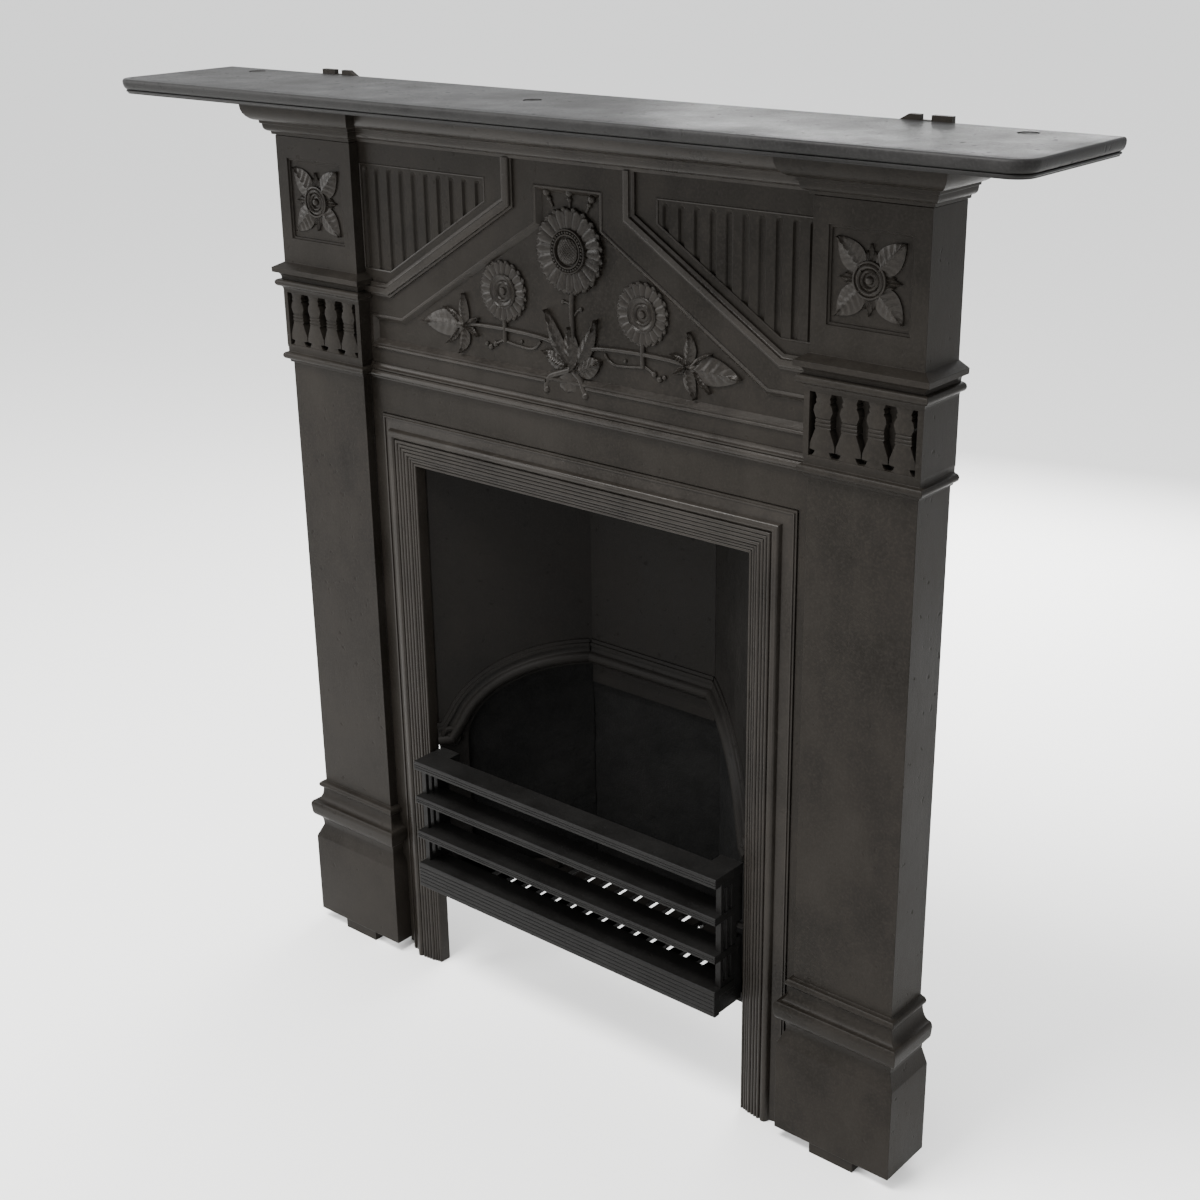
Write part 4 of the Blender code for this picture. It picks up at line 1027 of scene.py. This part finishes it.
def add_stem(bm, face, points, radius, steps=6):
    """A half-round stem through points of a face, smoothed between them."""
    knots = [Vector(p) for p in points]
    knots = [knots[0] * 2 - knots[1]] + knots + [knots[-1] * 2 - knots[-2]]
    path = []
    for a, b, c, d in zip(knots, knots[1:], knots[2:], knots[3:]):
        for i in range(steps):
            t = i / steps
            path.append((b * 2 + (c - a) * t + (a * 2 - b * 5 + c * 4 - d) * t ** 2
                         + (b * 3 - a - c * 3 + d) * t ** 3) / 2)
    path.append(knots[-2])
    section = [(radius, -RELIEF_BITE), *arc((0.0, radius * 0.45), radius, 0, 180, 6), (-radius, -RELIEF_BITE)]
    section = [(a, max(b, 0.0) if 0 < i < 8 else b) for i, (a, b) in enumerate(section)]
    run_moulding(bm, section, [tuple(p) for p in path], face)
    for vert in bm.verts:
        vert.tag = True


def add_berry(bm, face, spot, radius, tall=0.8, proud=0.0006):
    bmesh.ops.create_uvsphere(bm, u_segments=14, v_segments=8, radius=radius)
    move_new(bm, face @ Matrix.Translation((*spot, proud)) @ Matrix.Diagonal((1, 1, tall, 1)))


print("a leaf:", LEAF_VEINS, "pairs of veins")

# %% [markdown]
# ## Balusters
# The balusters over each shaft are flat-fronted, like fretwork: a foot, a wide skirt, three rings, a bulb
# and a neck. They stand in a recess with a plain strip at each corner of the pilaster.

# %% Baluster rows
BALUSTER_PITCH = 0.0252
BALUSTER_HALF = 0.0121
BALUSTER_SHAPE = ((0.0, 0.86), (0.05, 0.66), (0.10, 0.56), (0.105, 1.0), (0.20, 0.98), (0.44, 0.56),
                  (0.45, 0.64),
                  (0.61, 0.58), (0.63, 0.62), (0.71, 0.76), (0.79, 0.68), (0.84, 0.50), (0.85, 0.58), (0.89,
                                                                                                       0.58),
                  (0.90, 0.50), (0.93, 0.54), (1.0, 0.68))
BALUSTER_RINGS = (0.47, 0.53, 0.59)


def baluster_outline(u):
    """Half the width of a baluster at a share of its height."""
    for (low, first), (high, second) in zip(BALUSTER_SHAPE, BALUSTER_SHAPE[1:]):
        if u <= high:
            return first + (second - first) * (u - low) / (high - low)
    return BALUSTER_SHAPE[-1][1]


def baluster_height(u, v):
    """A nearly flat front with three grooves across its middle."""
    groove = max(max(0.0, 1 - abs(u - ring) / 0.016) for ring in BALUSTER_RINGS)
    return 1 - 0.07 * v * v - 0.12 * groove


def make_balusters(word, side):
    bm = bmesh.new()
    tall = BALUSTER_HIGH - BALUSTER_LOW + 0.0008
    back = upright(SHAFT_Y + RECESS_BACK)
    for place in (-1.5, -0.5, 0.5, 1.5):
        foot = Matrix.Translation((side * PILASTER_X + place * BALUSTER_PITCH, BALUSTER_LOW - 0.0004, 0.0))
        add_leaf(bm, back @ foot @ Matrix.Rotation(math.pi / 2, 4, "Z"), tall, BALUSTER_HALF * 2,
                 RECESS_BACK + BALUSTER_FACE - 0.0004, baluster_outline, baluster_height, cells=(84, 8))
    reach = SHAFT_HALF + BALUSTER_FACE
    for end, rear in ((side, WALL_Y - 0.0002), (-side, FRIEZE_Y)):
        xs = sorted((side * PILASTER_X + end * BALUSTER_PITCH * 2, side * PILASTER_X + end * reach))
        add_box(bm, (xs[0], SHAFT_Y - BALUSTER_FACE, BALUSTER_LOW - 0.0002),
                (xs[1], rear, BALUSTER_HIGH + 0.0002))
    print(word, "row of four balusters, each", round(tall * 1000, 1), "mm high")
    return finish_piece(word + "_balusters", bm, POLISHED, smooth=30)


for word, side in SIDES:
    make_balusters(word, side)

# %% [markdown]
# ## Sunflowers
# Each flower has two rings of petals, one showing between the other, and a raised eye. The middle flower's
# eye is a cross-hatched boss in a ring of beads, and the eyes of the side flowers are two plain rings round
# a boss.

# %% Sunflower parts
PANEL_FACE = upright(FRIEZE_Y + PANEL_SINK)
PETALS = 20
BEADS = 34
BEAD_RING = 0.0171


def add_petals(bm, face, centre, count, inner, outer, rise, turn=0.0):
    width = math.tau * (inner + (outer - inner) * 0.72) / count * 1.02
    for i in range(count):
        angle = math.tau * (i + turn) / count
        place = face @ Matrix.Translation((*centre, 0.0)) @ Matrix.Rotation(angle, 4, "Z")
        add_leaf(bm, place @ Matrix.Translation((inner, 0, 0)), outer - inner, width, rise, petal_outline,
                 petal_height, 0.0, (10, 6))


def add_hatched_boss(bm, place, radius, tall, rows):
    """A domed boss cut by two sets of crossing grooves."""
    cells = rows * 6
    grid = bmesh.ops.create_grid(bm, x_segments=cells, y_segments=cells, size=1.0)["verts"]
    for vert in grid:
        x, y = vert.co.x, vert.co.y
        u, v = x * math.sqrt(1 - y * y / 2), y * math.sqrt(1 - x * x / 2)
        off = min(1.0, u * u + v * v)
        cut = abs(math.sin(math.pi * rows * (u + v) / 2)) * abs(math.sin(math.pi * rows * (u - v) / 2))
        vert.co = (u * radius, v * radius, tall * math.sqrt(1 - off * 0.96) + 0.0012 * cut * (1 - off) ** 0.3)
    edges = list({e for vert in grid for e in vert.link_edges if e.is_boundary})
    made = bmesh.ops.extrude_edge_only(bm, edges=edges)["geom"]
    for vert in verts_of(made):
        vert.co.z = -0.002
    bmesh.ops.contextual_create(bm, geom=[e for e in edges_of(made) if e.is_boundary])
    move_new(bm, place)


def make_centre_flower():
    bm = bmesh.new()
    centre = (0.0, 0.8140)
    spot = PANEL_FACE @ Matrix.Translation((*centre, 0.0))
    add_petals(bm, PANEL_FACE, centre, PETALS, 0.0170, 0.0392, 0.0034, 0.5)
    add_petals(bm, PANEL_FACE, centre, PETALS, 0.0170, 0.0382, 0.0050)
    add_turning(bm, ((-0.0005, 0.0205), (0.0052, 0.0205), (0.0062, 0.0198), (0.0062, 0.0188),
                     (0.0050, 0.0180),
                     (0.0050, 0.0160), (0.0064, 0.0154), (0.0064, 0.0142), (0.0034, 0.0130), (0.0034,
                                                                                              0.0)), spot, 56)
    for i in range(BEADS):
        angle = math.tau * i / BEADS
        bead = (centre[0] + BEAD_RING * math.cos(angle), centre[1] + BEAD_RING * math.sin(angle))
        add_berry(bm, PANEL_FACE, bead, 0.00135, 1.0, 0.0054)
    add_hatched_boss(bm, spot @ Matrix.Translation((0, 0, 0.0034)), 0.0122, 0.0042, 8)
    for x, z in ((-0.0262, 0.8637), (0.0005, 0.8653), (0.0262, 0.8620)):
        bud = Vector((x, z))
        away = (bud - Vector(centre)).normalized()
        add_stem(bm, PANEL_FACE, [tuple(bud - away * 0.0140), tuple(bud - away * 0.0070), tuple(bud)], 0.0013)
        add_berry(bm, PANEL_FACE, tuple(bud), 0.0040, 0.9)
        add_berry(bm, PANEL_FACE, tuple(bud - away * 0.0062), 0.0027, 0.9)
    return finish_piece("centre_sunflower", bm, RUBBED_IRON_WITH_PAINTED_SHEEN, smooth=42)


def make_side_flower(word, side):
    bm = bmesh.new()
    centre = (side * 0.0825, 0.7680)
    spot = PANEL_FACE @ Matrix.Translation((*centre, 0.0))
    add_petals(bm, PANEL_FACE, centre, PETALS, 0.0130, 0.0290, 0.0024, 0.5)
    add_petals(bm, PANEL_FACE, centre, PETALS, 0.0130, 0.0278, 0.0036)
    add_turning(bm, ((-0.0005, 0.0160), (0.0036, 0.0160), (0.0044, 0.0150), (0.0036, 0.0140),
                     (0.0026, 0.0130),
                     (0.0022, 0.0104), (0.0034, 0.0094), (0.0040, 0.0084), (0.0034, 0.0074), (0.0018, 0.0064),
                     (0.0018, 0.0040), (0.0034, 0.0030), (0.0040, 0.0)), spot, 48)
    return finish_piece(word + "_side_sunflower", bm, RUBBED_IRON_WITH_PAINTED_SHEEN, smooth=42)


make_centre_flower()
for word, side in SIDES:
    make_side_flower(word, side)
print("sunflowers: one in the middle and one on each side")

# %% [markdown]
# ## Stems and foliage
# The middle flower's stem rises out of a tuft of leaves on a small foot that hooks over the border. From
# the tuft a branch arches to each side under the side flowers and ends in a spray of leaves.

# %% Foliage
TUFT = (((0.0045, 0.7075), (0.0298, 0.7564), 0.0135, -0.0020), ((-0.0040, 0.7090), (-0.0297, 0.7584),
                                                                0.0140, 0.0020),
        ((0.0050, 0.7060), (0.0352, 0.7190), 0.0180, -0.0010), ((-0.0055, 0.7080), (-0.0338, 0.7200),
                                                                0.0140, 0.0010),
        ((0.0000, 0.7040), (-0.0015, 0.7460), 0.0185, 0.0))
SPRAY = (((0.1330, 0.7290), (0.1895, 0.7262), 0.0235, 0.0010), ((0.1320, 0.7300), (0.1338, 0.7600), 0.0125,
                                                                -0.0022),
         ((0.1330, 0.7290), (0.1410, 0.7012), 0.0125, -0.0022), ((0.1400, 0.7320), (0.1590, 0.7440), 0.0060,
                                                                 0.0010),
         ((0.1400, 0.7260), (0.1575, 0.7090), 0.0062, -0.0010), ((0.1310, 0.7300), (0.1150, 0.7385), 0.0060,
                                                                 0.0),
         ((0.1310, 0.7285), (0.1165, 0.7205), 0.0060, 0.0))


def make_tuft():
    bm = bmesh.new()
    add_stem(bm, PANEL_FACE, [(0.0020, 0.7790), (0.0008, 0.7600), (0.0024, 0.7300), (0.0044, 0.7030)], 0.0027)
    for path in (((0.0016, 0.7640), (-0.0040, 0.7668), (-0.0098, 0.7672)),
                 ((0.0026, 0.7560), (0.0075, 0.7612),
                                                                         (0.0112, 0.7628))):
        add_stem(bm, PANEL_FACE, path, 0.0011)
        add_berry(bm, PANEL_FACE, path[-1], 0.0022)
    for start, end, width, bend in TUFT:
        place, length = grown(PANEL_FACE, start, end)
        add_leaf(bm, place, length, width * 1.12, 0.0050, bend=bend)
    for path in (((-0.0010, 0.7060), (-0.0150, 0.7010), (-0.0255, 0.6965), (-0.0305, 0.6885),
                  (-0.0300, 0.6835)),
                 ((0.0030, 0.7050), (0.0100, 0.6990), (0.0140, 0.6905), (0.0170, 0.6845))):
        add_stem(bm, PANEL_FACE, path, 0.0034)
        add_berry(bm, PANEL_FACE, path[-1], 0.0042, 1.1, 0.0014)
    place, length = grown(PANEL_FACE, (-0.0030, 0.7080), (-0.0040, 0.6850))
    add_leaf(bm, place, length, 0.0260, 0.0046, petal_outline, petal_height, 0.0, (12, 8))
    return finish_piece("tuft_of_leaves", bm, RUBBED_IRON_WITH_PAINTED_SHEEN, smooth=45)


def make_branch(word, side):
    bm = bmesh.new()

    def own(points):
        return [(side * x, z) for x, z in points]

    add_stem(bm, PANEL_FACE, own([(0.0060, 0.7050), (0.0110, 0.7190), (0.0210, 0.7275), (0.0400, 0.7310),
                                  (0.0810, 0.7325), (0.1166, 0.7316), (0.1330, 0.7295)]), 0.0022)
    add_stem(bm, PANEL_FACE, own([(0.0825, 0.7440), (0.0822, 0.7330), (0.0826, 0.7200)]), 0.0024)
    add_stem(bm, PANEL_FACE, own([(0.0860, 0.7212), (0.0680, 0.7190), (0.0520, 0.7180), (0.0440, 0.7205),
                                  (0.0385, 0.7265)]), 0.0013)
    add_stem(bm, PANEL_FACE, own([(0.0826, 0.7225), (0.0900, 0.7190), (0.0960, 0.7160)]), 0.0012)
    for x, z, radius in ((0.0950, 0.7165, 0.0030), (0.1010, 0.7128, 0.0030), (0.1062, 0.7152, 0.0024),
                         (0.0620, 0.7232, 0.0018), (0.1335, 0.7295, 0.0036)):
        add_berry(bm, PANEL_FACE, (side * x, z), radius)
    for start, end, width, bend in SPRAY:
        place, length = grown(PANEL_FACE, *own([start, end]))
        add_leaf(bm, place, length, width * 1.08, 0.0042, bend=side * bend)
    return finish_piece(word + "_branch", bm, RUBBED_IRON_WITH_PAINTED_SHEEN, smooth=45)


make_tuft()
for word, side in SIDES:
    make_branch(word, side)
print("foliage:", len(TUFT), "leaves in the tuft and", len(SPRAY), "in each spray")

# %% [markdown]
# ## Rosettes
# The panel in the block over each pilaster holds a rosette: a roundel of rings, a veined leaf to each
# corner, and a small pointed bud between the leaves.

# %% Rosettes
BLOCK_FACE = upright(SHAFT_Y - 0.0010 + 0.0032)
ROSETTE_RADIUS = 0.0155


def make_rosette(word, side):
    bm = bmesh.new()
    centre = Vector((side * PILASTER_X, (PANEL_LOW + PANEL_HIGH) / 2))
    for x, z in ((1, 1), (1, -1), (-1, 1), (-1, -1)):
        place, length = grown(BLOCK_FACE, tuple(centre + Vector((x, z)) * 0.0060),
                              tuple(centre + Vector((x * 0.0310, z * 0.0315))))
        add_leaf(bm, place, length, 0.0225, 0.0036)
    for x, z in ((1, 0), (-1, 0), (0, 1), (0, -1)):
        for turn in (-0.16, 0.0, 0.16):
            away = Vector((x * math.cos(turn) - z * math.sin(turn), x * math.sin(turn) + z * math.cos(turn)))
            reach = 0.0285 if turn == 0.0 else 0.0232
            place, length = grown(BLOCK_FACE, tuple(centre + away * 0.0125), tuple(centre + away * reach))
            add_leaf(bm, place, length, 0.0056, 0.0026, cells=(12, 6))
    rings = [(-0.0005, ROSETTE_RADIUS), (0.0034, ROSETTE_RADIUS)]
    for share, height in ((0.97, 0.0042), (0.88, 0.0044), (0.84, 0.0030), (0.80, 0.0038), (0.70, 0.0046),
                          (0.62, 0.0040),
                          (0.58, 0.0026), (0.54, 0.0034), (0.44, 0.0042), (0.38, 0.0034), (0.34, 0.0020),
                          (0.24, 0.0022), (0.20, 0.0044), (0.10, 0.0054)):
        rings.append((height, ROSETTE_RADIUS * share))
    add_turning(bm, rings + [(0.0056, 0.0)], BLOCK_FACE @ Matrix.Translation((*centre, 0.0)), 56)
    return finish_piece(word + "_rosette", bm, RUBBED_IRON_WITH_PAINTED_SHEEN, smooth=42)


for word, side in SIDES:
    make_rosette(word, side)
print("rosettes on both blocks")

# %% [markdown]
# ## Room, light and camera
# The fireplace stands on a pale floor in front of nothing else, under soft light from above and both sides.

# %% Floor, lights and camera
LENS = 55.17
FLOOR_SIZE = 40
CAMERA_SPOT = (1.0763, WALL_Y - 1.2644, 1.1230)
YAW, PITCH, ROLL = math.radians(40.5), math.radians(21.48), math.radians(-0.886)
LIGHTS = (
    ("overhead", (-0.3, -1.1, 2.7), (0, 0, 0.6), 1.1, 0.8, 135),
    ("left_window", (-2.6, -1.9, 1.7), (0, 0, 0.5), 1.2, 2.0, 85),
    ("right_window", (2.9, -1.2, 1.9), (0, 0, 0.5), 1.8, 2.2, 2),
    ("front_fill", (0.4, -3.4, 1.0), (0, 0, 0.5), 2.2, 1.4, 40),
    ("back_fill", (-0.5, 1.7, 0.8), (-0.1, 0.1, 0), 1.2, 0.8, 45),
)


def make_floor():
    bm = bmesh.new()
    bmesh.ops.create_grid(bm, x_segments=1, y_segments=1, size=FLOOR_SIZE)
    mesh = bpy.data.meshes.new("floor")
    bm.to_mesh(mesh)
    bm.free()
    floor = bpy.data.objects.new("floor", mesh)
    bpy.context.scene.collection.objects.link(floor)
    sheet = Sheet("pale_floor")
    mesh.materials.append(sheet.set(Base_Color=(0.93, 0.925, 0.91), Roughness=0.55))
    return floor


def make_light(name, spot, aim, width, height, power):
    lamp = bpy.data.lights.new(name, "AREA")
    lamp.shape = "RECTANGLE"
    lamp.size = width
    lamp.size_y = height
    lamp.energy = power
    light = bpy.data.objects.new(name, lamp)
    light.location = spot
    light.rotation_euler = (Vector(aim) - Vector(spot)).to_track_quat("-Z", "Y").to_euler()
    bpy.context.scene.collection.objects.link(light)
    return light


def make_camera():
    camera = bpy.data.objects.new("camera", bpy.data.cameras.new("camera"))
    bpy.context.scene.collection.objects.link(camera)
    camera.data.lens = LENS
    camera.data.sensor_width = 36
    camera.data.clip_end = 50
    forward = Vector((-math.sin(YAW) * math.cos(PITCH), math.cos(YAW) * math.cos(PITCH), -math.sin(PITCH)))
    right = Vector((math.cos(YAW), math.sin(YAW), 0))
    up = right.cross(forward)
    camera_x = math.cos(ROLL) * right + math.sin(ROLL) * up
    camera_y = math.cos(ROLL) * up - math.sin(ROLL) * right
    turn = Matrix((camera_x, camera_y, -forward)).transposed().to_4x4()
    camera.matrix_world = Matrix.Translation(CAMERA_SPOT) @ turn
    bpy.context.scene.camera = camera
    return camera


make_floor()
for row in LIGHTS:
    make_light(*row)
world = bpy.data.worlds.new("room")
world.use_nodes = True
world.node_tree.nodes["Background"].inputs["Color"].default_value = (0.86, 0.87, 0.88, 1)
world.node_tree.nodes["Background"].inputs["Strength"].default_value = 1.7
bpy.context.scene.world = world
make_camera()

# %% Carried-over nodes take their finishes
CAD_FINISH = {"polished_iron": POLISHED, "sooted_iron": SOOTED, "fireclay": FIRECLAY, "steel": STEEL}
for part in frame["record"]["subparts"]:
    node = frame["nodes"][part["node"]]
    if not node.hide_render:
        node.data.materials.clear()
        # Shelf screws take the near-black sooted iron instead of steel: here its dark colour is painted
        # shade, standing in for the shadow in the screw holes, not soot.
        shelf_screw = part["node"].startswith("shelf_screw")
        node.data.materials.append(SOOTED if shelf_screw else CAD_FINISH[part["material_slot"]])
